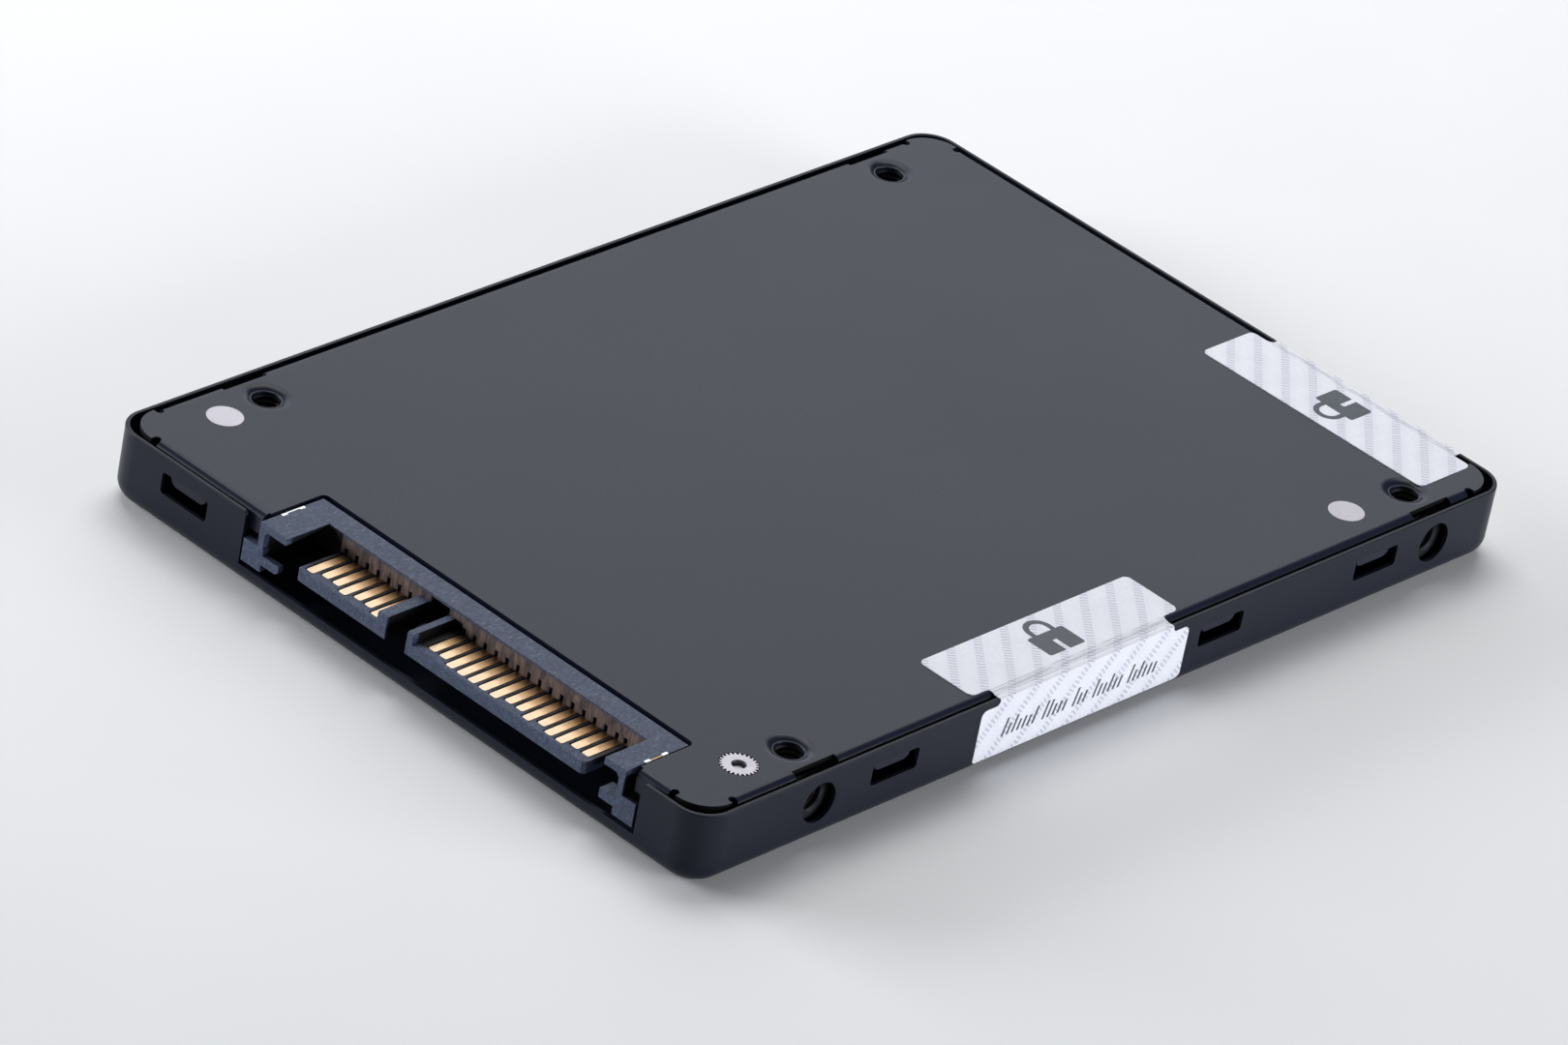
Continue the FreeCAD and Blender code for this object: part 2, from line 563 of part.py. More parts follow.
def guide_end(side, arm_in):
    """One end of the housing: foot, thin web, top arm and inner ledge around the guide slot."""
    def span(near, far):
        return sorted((PLUG_X + side * near, PLUG_X + side * far))

    foot = span(FOOT_IN, FOOT_OUT)
    web = span(WEB_IN, WEB_OUT)
    arm = span(arm_in, WEB_OUT)
    ledge_in = arm_in + LEDGE_SHORT[side]
    ledge = span(ledge_in, FOOT_OUT - 0.2)
    under_back = LEFT_ARM_BACK if side < 0 else ARM_UNDER
    arm_outline = [(PLUG_FRONT, ARM_UNDER), (PLUG_BASE + 0.1, under_back), (PLUG_BASE + 0.1, PLUG_TOP),
                   (PLUG_FRONT, PLUG_TOP)]
    pieces = [box(foot[0], foot[1], PLUG_FRONT, PLUG_BACK + 3.0, FOOT_BOTTOM, BOARD_BOTTOM),
              box(foot[0], foot[1], PLUG_FRONT, PLUG_BACK, FOOT_BOTTOM, FOOT_TOP),
              box(web[0], web[1], PLUG_FRONT, PLUG_BACK, FOOT_BOTTOM, PLUG_TOP),
              profile_x(arm_outline, arm[0], arm[1])]
    shelf = box(ledge[0], ledge[1], PLUG_FRONT, PLUG_FRONT + LEDGE_DEPTH[side], LEDGE_BOTTOM, LEDGE_TOP)
    tip_x = PLUG_X + side * ledge_in
    low_tip = edges_at(shelf, lambda p: abs(p.x - tip_x) < 1e-6 and p.z < LEDGE_BOTTOM + 1e-6)
    pieces.append(shelf.makeFillet(LEDGE_R[side], low_tip))
    root_x = PLUG_X + side * (WEB_IN + 0.01)
    gusset = [(root_x, ARM_UNDER + 0.01), (root_x, ARM_UNDER - GUSSET),
              (root_x - side * GUSSET, ARM_UNDER + 0.01)]
    pieces.append(profile_y(gusset, PLUG_FRONT, PLUG_BASE + 0.1))
    return pieces


def clip(side):
    """Thin metal board lock let into the outer face of a web; its two upright ends are thicker."""
    def layer(thickness):
        return sorted((PLUG_X + side * WEB_OUT, PLUG_X + side * (WEB_OUT - thickness)))

    thin = layer(CLIP_T)
    outline = [(CLIP_FRONT_Y, 4.7), (PLUG_BASE + 0.05, 4.7), (PLUG_BASE + 0.05, 5.4),
               (PLUG_BACK + 0.2, 5.4), (PLUG_BACK + 0.2, 2.6), (PLUG_BACK + 1.2, 2.6),
               (PLUG_BACK + 1.2, 6.0), (PLUG_BASE + 0.05, 6.0), (PLUG_BASE + 0.05, PLUG_TOP),
               (CLIP_FRONT_Y, PLUG_TOP)]
    body = profile_x(outline, thin[0], thin[1])
    thick = layer(CLIP_END_T)
    for y in (CLIP_FRONT_Y, PLUG_BASE + 0.05 - CLIP_END_L):
        body = body.fuse(box(thick[0], thick[1], y, y + CLIP_END_L, 4.7, PLUG_TOP))
    return body


def connector_housing():
    """Moulded housing: base wall, two tongues and the two guide ends, with contact windows."""
    wall = box(PLUG_X - WEB_OUT, PLUG_X + WEB_OUT, PLUG_BASE, PLUG_BACK, LEDGE_BOTTOM, PLUG_TOP)
    pieces = [tongue(SIGNAL_TONGUE, 1, SIGNAL_KEY_W), tongue(POWER_TONGUE, -1, POWER_KEY_W)]
    pieces += guide_end(-1, LEFT_ARM_IN) + guide_end(1, RIGHT_ARM_IN)
    body = wall.fuse(pieces)
    tools = [clip(-1), clip(1)]
    for _, x, tip_y in contact_places():
        tools.append(box(x + WINDOW_X[0], x + WINDOW_X[1], PLUG_BASE - MARGIN / 4, PLUG_BACK - 0.5,
                         CHANNEL_FLOOR, TONGUE_TOP + WINDOW_H))
        tools.append(box(x - CHANNEL_W / 2, x + CHANNEL_W / 2, tip_y + 0.06, PLUG_BASE,
                         CHANNEL_FLOOR, TONGUE_TOP + MARGIN / 4))
        tools.append(contact(x, tip_y))
    tools.append(box(END_WINDOW_X[0], END_WINDOW_X[1], PLUG_BASE, PLUG_BACK - 0.5,
                     TONGUE_TOP, TONGUE_TOP + WINDOW_H))
    front = PLUG_BASE - MARGIN
    back = PLUG_BASE + POCKET_DEPTH
    left, right = LEFT_POCKET
    hollow = [(left, LEDGE_BOTTOM - MARGIN), (right, LEDGE_BOTTOM - MARGIN),
              (right, POCKET_TOP - POCKET_BEVEL), (right - POCKET_BEVEL, POCKET_TOP), (left, POCKET_TOP)]
    tools.append(profile_y(hollow, front, back))
    tools.append(box(MIDDLE_POCKET[0], MIDDLE_POCKET[1], front, back, LEDGE_BOTTOM - MARGIN, POCKET_TOP))
    tools.append(box(PLUG_X - WEB_IN, PLUG_X + WEB_IN, PLUG_BACK - 0.5, PLUG_BACK + MARGIN,
                     BOARD_BOTTOM - MARGIN, BOARD_TOP + 0.1))
    return body.cut(tools)


# ---- board and what is on it ------------------------------------------------------------
def circuit_board():
    """Board with a bay for the connector, bays round the corner blocks and screw holes."""
    board = round_slab(-BOARD_HALF_W, BOARD_HALF_W, BOARD_FRONT_Y, BOARD_BACK_Y, 1.5,
                       BOARD_BOTTOM, BOARD_TOP)
    low = BOARD_BOTTOM - MARGIN
    high = BOARD_TOP + MARGIN
    tools = [box(PLUG_X - FOOT_OUT - 0.3, PLUG_X + FOOT_OUT + 0.3, BOARD_FRONT_Y - MARGIN,
                 BOARD_BAY_Y, low, high)]
    for x, y in hole_places():
        side = 1 if x > 0 else -1
        ends = sorted((side * (BLOCK_INNER_X - 0.4), side * (BOARD_HALF_W + MARGIN)))
        tools.append(box(ends[0], ends[1], y - BLOCK_HALF_Y - 0.5, y + BLOCK_HALF_Y + 0.5, low, high))
    for x, y in list(BLIND_STANDOFFS.values()) + [THROUGH_STANDOFF]:
        tools.append(post(SCREW_R + 0.15, x, y, low, high))
    for side in (-1, 1):
        ends = sorted((PLUG_X + side * (WEB_OUT + 0.1), PLUG_X + side * (WEB_OUT - CLIP_T - 0.1)))
        tools.append(box(ends[0], ends[1], PLUG_BACK + 0.1, PLUG_BACK + 1.3, low, high))
    return board.cut(tools)


def chip(x, y, size_x, size_y, height):
    """Moulded package standing on the board, with a small draft step at its top edge."""
    body = box(x - size_x / 2, x + size_x / 2, y - size_y / 2, y + size_y / 2,
               BOARD_TOP, BOARD_TOP + height)
    crown = edges_at(body, lambda p: p.z > BOARD_TOP + height - 1e-6)
    return body.makeChamfer(min(0.12, height / 5), crown)


def chip_rows(first, columns, rows, step_x, step_y, size):
    """A grid of equal small packages as separate solids."""
    size_x, size_y, height = size
    packages = [chip(first[0] + step_x * column, first[1] + step_y * row, size_x, size_y, height)
                for row in range(rows) for column in range(columns)]
    return packages


FLASH_SIZE = (12.0, 18.0, 1.2)
FLASH_PLACES = [(x, y) for y in (6.0, 28.0) for x in (-17.0, 1.0)]
CONTROLLER = (-1.0, -18.0, 14.0, 14.0, 1.1)
DRAM = (-19.0, -18.0, 9.0, 13.0, 1.0)


def ceramic_capacitors():
    """Small decoupling capacitors in rows between the large packages."""
    size = (1.0, 0.5, 0.5)
    rows = chip_rows((-7.0, -28.0), 8, 1, 1.9, 1.0, size)
    rows += chip_rows((-7.0, -8.2), 8, 1, 1.9, 1.0, size)
    rows += chip_rows((-9.0, 0.0), 1, 8, 1.9, 1.9, size)
    rows += chip_rows((-9.0, 21.0), 1, 8, 1.9, 1.9, size)
    return Part.makeCompound(rows)


def thermal_pad(x, y, size_x, size_y, chip_height):
    """Soft pad squeezed between a package and the cover."""
    return box(x - size_x / 2, x + size_x / 2, y - size_y / 2, y + size_y / 2,
               BOARD_TOP + chip_height, COVER_UNDER)


# ---- self-adhesive seals and label ------------------------------------------------------
def seal_skin():
    """Thin skin that follows the outer form of the case."""
    return outer_block(SEAL_T, HEIGHT + SEAL_T).cut(outer_block(0, HEIGHT))


def side_seal():
    """Seal over the right-hand seam: flap on the cover, narrower neck, flap on the wall."""
    y0, y1 = SIDE_SEAL_Y
    top = round_slab(SIDE_SEAL_X[0], SIDE_SEAL_X[1], y0, y1, SEAL_R, HEIGHT - 0.5, HEIGHT + MARGIN)
    neck = box(SIDE_SEAL_X[1] - SEAL_R, HALF_W + MARGIN, y0 + NECK_INSET, y1 - NECK_INSET,
               SEAL_FLAP_TOP - SEAL_R, HEIGHT + MARGIN)
    flap = round_slab(-SEAL_FLAP_TOP, -SEAL_BOTTOM, y0, y1, SEAL_R, 0, 2 * MARGIN)
    flap.rotate(point(0, 0, 0), point(0, 1, 0), 90)
    flap.translate(point(HALF_W - MARGIN, 0, 0))
    return seal_skin().common(top.fuse([neck, flap]))


def back_seal():
    """The same kind of seal over the seam at the back end."""
    x0, x1 = BACK_SEAL_X
    top = round_slab(x0, x1, BACK_SEAL_Y[0], BACK_SEAL_Y[1], SEAL_R, HEIGHT - 0.5, HEIGHT + MARGIN)
    neck = box(x0 + NECK_INSET, x1 - NECK_INSET, BACK_SEAL_Y[1] - SEAL_R, HALF_L + MARGIN,
               SEAL_FLAP_TOP - SEAL_R, HEIGHT + MARGIN)
    flap = round_slab(x0, x1, -SEAL_FLAP_TOP, -SEAL_BOTTOM, SEAL_R, 0, 2 * MARGIN)
    flap.rotate(point(0, 0, 0), point(1, 0, 0), -90)
    flap.translate(point(0, HALF_L - MARGIN, 0))
    return seal_skin().common(top.fuse([neck, flap]))


def product_label():
    """Blank label in the shallow recess of the label face."""
    return round_slab(-LABEL_HALF[0], LABEL_HALF[0], -LABEL_HALF[1], LABEL_HALF[1], 1.5,
                      LABEL_RECESS - LABEL_T, LABEL_RECESS)


# ---- all nodes --------------------------------------------------------------------------
os.makedirs("parts", exist_ok=True)

save(shell(), "shell")
save(cover(), "cover")
for end, hole_y in (("front", FRONT_HOLE_Y), ("back", BACK_HOLE_Y)):
    for name, side in (("left", -1), ("right", 1)):
        save(mount_block(side, hole_y), "mount_block_" + end + "_" + name)
for node, (centre_x, centre_y) in BLIND_STANDOFFS.items():
    save(standoff(centre_x, centre_y, False), node)
save(standoff(THROUGH_STANDOFF[0], THROUGH_STANDOFF[1], True), "standoff_front_right")
save(board_screws(), "board_screws")

save(connector_housing(), "connector_housing")
save(contacts("signal"), "signal_contacts")
save(contacts("power"), "power_contacts")
save(clip(-1), "board_lock_left")
save(clip(1), "board_lock_right")

save(circuit_board(), "circuit_board")
save(chip(*CONTROLLER), "controller_chip")
save(chip(*DRAM), "dram_chip")
for number, (centre_x, centre_y) in enumerate(FLASH_PLACES, 1):
    save(chip(centre_x, centre_y, *FLASH_SIZE), "flash_chip_" + str(number))
save(chip(20.0, -34.0, 4.0, 4.0, 0.8), "power_regulator")
save(Part.makeCompound(chip_rows((16.0, -28.0), 3, 1, 5.0, 1.0, (4.0, 4.0, 1.8))), "power_inductors")
save(ceramic_capacitors(), "ceramic_capacitors")
save(Part.makeCompound(chip_rows((17.0, -18.0), 2, 5, 8.0, 6.0, (6.0, 3.4, 1.9))), "holdup_capacitors")
save(chip(-13.0, -32.0, 3.2, 2.5, 0.8), "oscillator")
save(Part.makeCompound(chip_rows((-11.0, -38.0), 14, 1, 2.1, 1.0, (1.0, 0.5, 0.35))), "resistors")
save(thermal_pad(CONTROLLER[0], CONTROLLER[1], 13.0, 13.0, CONTROLLER[4]), "controller_pad")
for name, pad_x in (("left", -17.0), ("right", 1.0)):
    save(thermal_pad(pad_x, 17.0, 10.0, 38.0, FLASH_SIZE[2]), "flash_pad_" + name)

save(side_seal(), "tamper_seal_side")
save(back_seal(), "tamper_seal_back")
save(product_label(), "product_label")
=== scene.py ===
import json
import math

import bmesh
import bpy
from mathutils import Matrix, Vector


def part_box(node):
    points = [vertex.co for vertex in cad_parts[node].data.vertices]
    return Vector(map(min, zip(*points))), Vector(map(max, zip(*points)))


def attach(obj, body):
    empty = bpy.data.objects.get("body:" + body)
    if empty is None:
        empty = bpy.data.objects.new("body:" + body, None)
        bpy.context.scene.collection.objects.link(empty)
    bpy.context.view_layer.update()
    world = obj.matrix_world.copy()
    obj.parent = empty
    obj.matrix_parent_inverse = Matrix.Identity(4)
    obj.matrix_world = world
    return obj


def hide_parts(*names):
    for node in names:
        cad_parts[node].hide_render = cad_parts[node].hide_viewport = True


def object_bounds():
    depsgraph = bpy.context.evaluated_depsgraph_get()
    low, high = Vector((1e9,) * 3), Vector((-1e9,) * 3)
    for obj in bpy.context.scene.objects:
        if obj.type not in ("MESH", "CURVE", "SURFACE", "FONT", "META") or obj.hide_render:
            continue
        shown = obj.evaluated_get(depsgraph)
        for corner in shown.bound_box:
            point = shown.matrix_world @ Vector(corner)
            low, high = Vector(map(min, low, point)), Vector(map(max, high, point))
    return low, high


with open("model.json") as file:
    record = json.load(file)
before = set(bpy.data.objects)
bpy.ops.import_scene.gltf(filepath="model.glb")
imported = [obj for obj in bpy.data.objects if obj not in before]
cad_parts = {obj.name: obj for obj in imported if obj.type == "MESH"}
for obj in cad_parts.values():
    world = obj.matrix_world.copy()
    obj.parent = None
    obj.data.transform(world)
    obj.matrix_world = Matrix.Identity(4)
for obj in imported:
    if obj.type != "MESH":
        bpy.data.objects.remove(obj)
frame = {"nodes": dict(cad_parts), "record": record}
cad_low, cad_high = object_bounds()

MM = 0.001
UP = Vector((0, 0, 1))

# ---- sizes taken from the frame, in metres --------------------------------------------
nodes = frame["nodes"]
record = frame["record"]
mounts = {mount["name"]: mount for mount in record["mounts"]}
shell_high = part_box("shell")[1]
side_seal_low, side_seal_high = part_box("tamper_seal_side")
back_seal_low, back_seal_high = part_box("tamper_seal_back")
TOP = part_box("cover")[1].z
RIM = shell_high.z
HALF_W = shell_high.x
HALF_L = shell_high.y

# ---- places that the materials know, in millimetres: painted shade, painted reflection and marks ---
PLUG_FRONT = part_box("connector_housing")[0].y / MM
PLUG_REACH = 4.8              # from the plug's front edge to its base wall
TONGUE_TOP = 5.15             # height of the contact tongues
# hollows of the plug darkened with painted shade: two sides, start behind the front edge, top
PAINTED_SHADE_BAYS = ((-15.96, -11.75, 0.75, 6.82), (-1.31, 1.11, 0.3, 6.05),
             (26.1, 27.9, 0.25, 6.3), (1.74, 2.6, 0.8, 6.06))
BAY_FLOOR = 2.0
CRISP = 0.03                  # softness of a sharp mask edge
RIB_START, RIB_DEPTH = 1.6, 0.6             # painted shade on the ribs between the contacts
REFLECTION_LOW, REFLECTION_HIGH = 0.04, 1.3             # painted reflection of the gold contacts: a warm band on the base wall above the tongues
BRASS_MIDDLE, BRASS_HALF = 1.25, 0.62       # brassy middle of a board lock
TAB_ACROSS, TAB_ALONG = (30.95, 36.0), (46.1, 52.0)     # painted shade at the cover's corner tabs
WINDOW_HALF, WINDOW_ACROSS = 2.42, (33.25, 36.0)        # its windows by the side threads
LIT_SKIN = 0.08               # the cover's top face stays lit to this depth
CREASES = (-1.30, -0.98, -0.80, -0.42)      # painted shade lines of creases, across a seal, measured from the seam's edge
CREASE_HALF = 0.02

# ---- sizes of the added pieces, in metres -------------------------------------------------
THREAD_PITCH = 0.5 * MM
THREAD_DEPTH = 0.13 * MM
THREAD_SINK = 0.02 * MM       # the crest's foot lies this far inside the bore wall
THREAD_FOOT, THREAD_CREST = 0.42, 0.06      # half widths, in pitches
THREAD_STEPS = 36             # sections in one turn
FACE_MOUTH, FACE_THREAD = 0.42 * MM, 4.4 * MM           # start below the top, and length
SIDE_MOUTH, SIDE_THREAD = 0.22 * MM, 1.2 * MM           # the same at the side holes
SMOOTH_ANGLE = math.radians(35)


# ---- material helpers -------------------------------------------------------------------
class Tree:
    """A small builder for one procedural material, with coordinates in millimetres."""

    def __init__(self, name):
        self.material = bpy.data.materials.new(name)
        self.material.use_nodes = True
        self.nodes = self.material.node_tree.nodes
        self.links = self.material.node_tree.links
        self.nodes.clear()
        self.shader = self.nodes.new("ShaderNodeBsdfPrincipled")
        output = self.nodes.new("ShaderNodeOutputMaterial")
        self.links.new(self.shader.outputs[0], output.inputs[0])
        coordinates = self.nodes.new("ShaderNodeTexCoord")
        mapping = self.nodes.new("ShaderNodeMapping")
        mapping.inputs["Scale"].default_value = (1 / MM, 1 / MM, 1 / MM)
        self.links.new(coordinates.outputs["Object"], mapping.inputs["Vector"])
        self.place = mapping.outputs[0]

    def turned(self, angle, scale=(1, 1, 1)):
        """Coordinates turned about Z and stretched."""
        mapping = self.nodes.new("ShaderNodeMapping")
        mapping.inputs["Rotation"].default_value = (0, 0, angle)
        mapping.inputs["Scale"].default_value = scale
        self.links.new(self.place, mapping.inputs["Vector"])
        return mapping.outputs[0]

    def sheet(self, seam, outward, angle, scale=(1, 1, 1)):
        """Coordinates unrolled over a folded seal, turned: along the seam, and out and down."""
        out = self.math("SUBTRACT", self.axis(outward), self.axis("Z"))
        node = self.nodes.new("ShaderNodeCombineXYZ")
        self.links.new(self.axis(seam), node.inputs[0])
        self.links.new(out, node.inputs[1])
        mapping = self.nodes.new("ShaderNodeMapping")
        mapping.inputs["Rotation"].default_value = (0, 0, angle)
        mapping.inputs["Scale"].default_value = scale
        self.links.new(node.outputs[0], mapping.inputs["Vector"])
        return mapping.outputs[0], out

    def noise(self, scale, detail=3.0, rough=0.55, place=None):
        """Noise with a scale in cycles per millimetre."""
        node = self.nodes.new("ShaderNodeTexNoise")
        node.inputs["Scale"].default_value = scale
        node.inputs["Detail"].default_value = detail
        node.inputs["Roughness"].default_value = rough
        self.links.new(place or self.place, node.inputs["Vector"])
        return node.outputs["Fac"]

    def bands(self, scale, place, distortion=0.0):
        """Sine bands across the X of the given coordinates."""
        node = self.nodes.new("ShaderNodeTexWave")
        node.inputs["Scale"].default_value = scale
        node.inputs["Distortion"].default_value = distortion
        self.links.new(place, node.inputs["Vector"])
        return node.outputs["Fac"]

    def axis(self, letter):
        """One coordinate of the place, in millimetres."""
        node = self.nodes.new("ShaderNodeSeparateXYZ")
        self.links.new(self.place, node.inputs[0])
        return node.outputs["XYZ".index(letter)]

    def within(self, value, low, high, soft):
        """One between low and high, falling to zero over the soft distance outside."""
        rise = self.spread(value, 0.0, 1.0, low - soft, low)
        fall = self.spread(value, 1.0, 0.0, high, high + soft)
        return self.math("MULTIPLY", rise, fall)

    def spread(self, value, low, high, start=0.0, end=1.0):
        """Maps a value from start..end to low..high."""
        node = self.nodes.new("ShaderNodeMapRange")
        node.inputs["From Min"].default_value = start
        node.inputs["From Max"].default_value = end
        node.inputs["To Min"].default_value = low
        node.inputs["To Max"].default_value = high
        self.links.new(value, node.inputs["Value"])
        return node.outputs["Result"]

    def ramp(self, value, stops):
        """Colour ramp through (position, (r, g, b)) stops."""
        node = self.nodes.new("ShaderNodeValToRGB")
        ramp = node.color_ramp
        while len(ramp.elements) < len(stops):
            ramp.elements.new(0.5)
        for element, (position, colour) in zip(ramp.elements, stops):
            element.position = position
            element.color = (*colour, 1)
        self.links.new(value, node.inputs["Fac"])
        return node.outputs["Color"]

    def math(self, operation, first, second):
        """One arithmetic step on two values, each a socket or a number."""
        node = self.nodes.new("ShaderNodeMath")
        node.operation = operation
        for socket, value in zip(node.inputs, (first, second)):
            if isinstance(value, (int, float)):
                socket.default_value = value
            else:
                self.links.new(value, socket)
        return node.outputs[0]

    def blend(self, factor, first, second):
        """Mixes two colours."""
        node = self.nodes.new("ShaderNodeMix")
        node.data_type = "RGBA"
        self.links.new(factor, node.inputs[0])
        for socket, value in ((node.inputs[6], first), (node.inputs[7], second)):
            if isinstance(value, tuple):
                socket.default_value = (*value, 1)
            else:
                self.links.new(value, socket)
        return node.outputs[2]

    def bump(self, height, distance, strength=1.0, under=None):
        """Bump with the height's distance in millimetres."""
        node = self.nodes.new("ShaderNodeBump")
        node.inputs["Strength"].default_value = strength
        node.inputs["Distance"].default_value = distance * MM
        self.links.new(height, node.inputs["Height"])
        if under is not None:
            self.links.new(under, node.inputs["Normal"])
        return node.outputs[0]

    def finish(self, colour=None, roughness=None, normal=None, **constants):
        """Connects the main channels and sets the constant ones."""
        for name, value in (("Base Color", colour), ("Roughness", roughness), ("Normal", normal)):
            if value is not None:
                self.links.new(value, self.shader.inputs[name])
        for name, value in constants.items():
            self.shader.inputs[name.replace("_", " ")].default_value = value
        return self.material


def srgb(red, green, blue):
    """Linear colour from 8-bit display values."""
    def linear(value):
        value /= 255
        return value / 12.92 if value <= 0.04045 else ((value + 0.055) / 1.055) ** 2.4
    return (linear(red), linear(green), linear(blue))


def scaled(colour, factor):
    """A colour made lighter or darker."""
    return tuple(min(1.0, channel * factor) for channel in colour)


def speckled(tree, colour, scale, low, high, detail=3.0):
    """Colour with even, noise-driven light and dark."""
    stops = [(0.3, scaled(colour, low)), (0.7, scaled(colour, high))]
    return tree.ramp(tree.noise(scale, detail), stops)


# ---- hole centres -----------------------------------------------------------------------
def mount_centres(mount, first, second):
    """Hole centres of a rectangle or line pattern."""
    centre = Vector(mount["pos_m"])
    dims = mount["dims"]
    across = [centre]
    if first is not None:
        step = Vector(first) * dims["spacing_x_mm"] * MM / 2
        across = [centre - step, centre + step]
    if second is not None:
        step = Vector(second) * dims["spacing_y_mm"] * MM / 2
        across = [hole + sign * step for hole in across for sign in (-1, 1)]
    return across


BORE_R = mounts["face_screw_holes"]["dims"]["hole_r_mm"] * MM
face_centres = mount_centres(mounts["face_screw_holes"], (1, 0, 0), (0, 1, 0))


# ---- materials --------------------------------------------------------------------------
def painted_recess_shade(tree):
    """Mask of painted shade on the cover's unlit cut edges, at its corner tabs and in its side
    windows.
    """
    across = tree.math("ABSOLUTE", tree.axis("X"), 0.0)
    along = tree.axis("Y")
    corners = tree.math("MULTIPLY", tree.within(across, *TAB_ACROSS, 0.1),
                        tree.within(tree.math("ABSOLUTE", along, 0.0), *TAB_ALONG, 0.1))
    windows = None
    for centre in (face_centres[0].y / MM, face_centres[1].y / MM):
        window = tree.within(along, centre - WINDOW_HALF, centre + WINDOW_HALF, CRISP)
        windows = window if windows is None else tree.math("ADD", windows, window)
    windows = tree.math("MULTIPLY", windows, tree.within(across, *WINDOW_ACROSS, 0.08))
    sunken = tree.within(tree.axis("Z"), 0.0, TOP / MM - LIT_SKIN, 0.04)
    return tree.math("MULTIPLY", tree.math("MAXIMUM", corners, windows), sunken)


def paint(name, colour, roughness, gloss, shaded=None):
    """Satin dark blue coat on sheet metal: fine texture, soft patches, and an optional painted
    shade.
    """
    tree = Tree(name)
    fine = tree.noise(9.0, 4.0)
    patches = tree.noise(0.05, 3.0)
    grain = speckled(tree, colour, 14.0, 0.93, 1.07)
    body = tree.blend(tree.spread(patches, 0.0, 0.5, 0.35, 0.7), grain, scaled(colour, 1.12))
    uneven = tree.math("ADD", fine, patches)
    rough = tree.spread(uneven, roughness - 0.05, roughness + 0.06, 0.6, 1.4)
    # painted shade: near-black colour and raised roughness where the mask lies
    if shaded is not None:
        mask = shaded(tree)
        body = tree.blend(mask, body, srgb(5, 5, 8))
        rough = tree.math("MAXIMUM", rough, tree.math("MULTIPLY", mask, 0.95))
    normal = tree.bump(fine, 0.004, 0.5, tree.bump(tree.noise(0.7, 2.0), 0.012, 0.35))
    return tree.finish(body, rough, normal, Specular_IOR_Level=gloss)


def moulding():
    """Glass-filled blue-grey plastic with short pale fibres; round the contacts, a painted warm
    reflection on the base wall and painted shade on the ribs, and painted shade in the plug's
    hollows.
    """
    tree = Tree("plug_moulding")
    mottled = speckled(tree, srgb(64, 74, 97), 3.4, 0.6, 1.3, 5.0)
    fibres = tree.noise(6.0, 2.0, place=tree.turned(0.5, (1.0, 0.22, 1.0)))
    pale = tree.spread(fibres, 0.0, 0.55, 0.56, 0.72)
    dark = tree.spread(tree.noise(5.0, 3.0), 0.35, 0.0, 0.30, 0.44)
    body = tree.blend(pale, mottled, srgb(118, 128, 148))
    body = tree.blend(dark, body, srgb(44, 52, 70))
    base = PLUG_FRONT + PLUG_REACH
    depth, height = tree.axis("Y"), tree.axis("Z")
    # painted shade on the ribs between the contacts
    rib_shade = tree.math("MULTIPLY", tree.within(depth, PLUG_FRONT + RIB_START, base + 0.1, 0.9),
                     tree.within(height, TONGUE_TOP - RIB_DEPTH, TONGUE_TOP + CRISP, CRISP))
    wall = tree.math("MULTIPLY", tree.within(depth, base - 0.02, base + 0.1, CRISP),
                     tree.within(height, TONGUE_TOP + REFLECTION_LOW, TONGUE_TOP + REFLECTION_HIGH, 0.4))
    body = tree.blend(tree.math("MULTIPLY", rib_shade, 0.95), body, srgb(22, 20, 25))
    # painted warm reflection of the gold contacts, streaky, in the band of the base wall
    reflection_streaks = tree.noise(1.1, 4.0, place=tree.turned(0.0, (2.2, 1.0, 0.5)))
    gold_reflection = tree.ramp(reflection_streaks, [(0.35, srgb(66, 55, 52)), (0.65, srgb(134, 112, 98))])
    body = tree.blend(tree.math("MULTIPLY", wall, 0.85), body, gold_reflection)
    across = tree.axis("X")
    # painted shade in the plug's hollows
    for low, high, start, top in PAINTED_SHADE_BAYS:
        bay_shade = tree.math("MULTIPLY", tree.within(across, low, high, CRISP),
                        tree.within(depth, PLUG_FRONT + start, base + 3.0, 0.3))
        bay_shade = tree.math("MULTIPLY", bay_shade, tree.within(height, BAY_FLOOR, top, CRISP))
        body = tree.blend(bay_shade, body, srgb(9, 10, 14))
    rough = tree.spread(tree.noise(6.0), 0.42, 0.62, 0.3, 0.7)
    normal = tree.bump(tree.noise(6.5, 4.0), 0.03, 0.6)
    return tree.finish(body, rough, normal, Specular_IOR_Level=0.3)


def gold():
    """Gold plate, wiped lengthwise; a painted reflection makes it pale at the tips, and painted
    shade makes it darker towards the base wall.
    """
    tree = Tree("gold_plate")
    wiped = tree.noise(1.4, 3.0, place=tree.turned(0.0, (6.0, 0.35, 1.0)))
    depth = tree.spread(tree.axis("Y"), 0.0, 1.0, PLUG_FRONT, PLUG_FRONT + PLUG_REACH)
    depth = tree.math("ADD", depth, tree.spread(wiped, -0.06, 0.06, 0.3, 0.7))
    # painted light along the contact: painted reflection at the tips, painted shade towards the
    # base wall
    body = tree.ramp(depth, [(0.22, srgb(230, 200, 170)), (0.42, srgb(246, 210, 170)),
                             (0.72, srgb(222, 178, 128)), (0.95, srgb(158, 122, 92))])
    rough = tree.spread(wiped, 0.26, 0.34, 0.3, 0.7)
    normal = tree.bump(wiped, 0.001, 0.3)
    return tree.finish(body, rough, normal, Metallic=0.9)


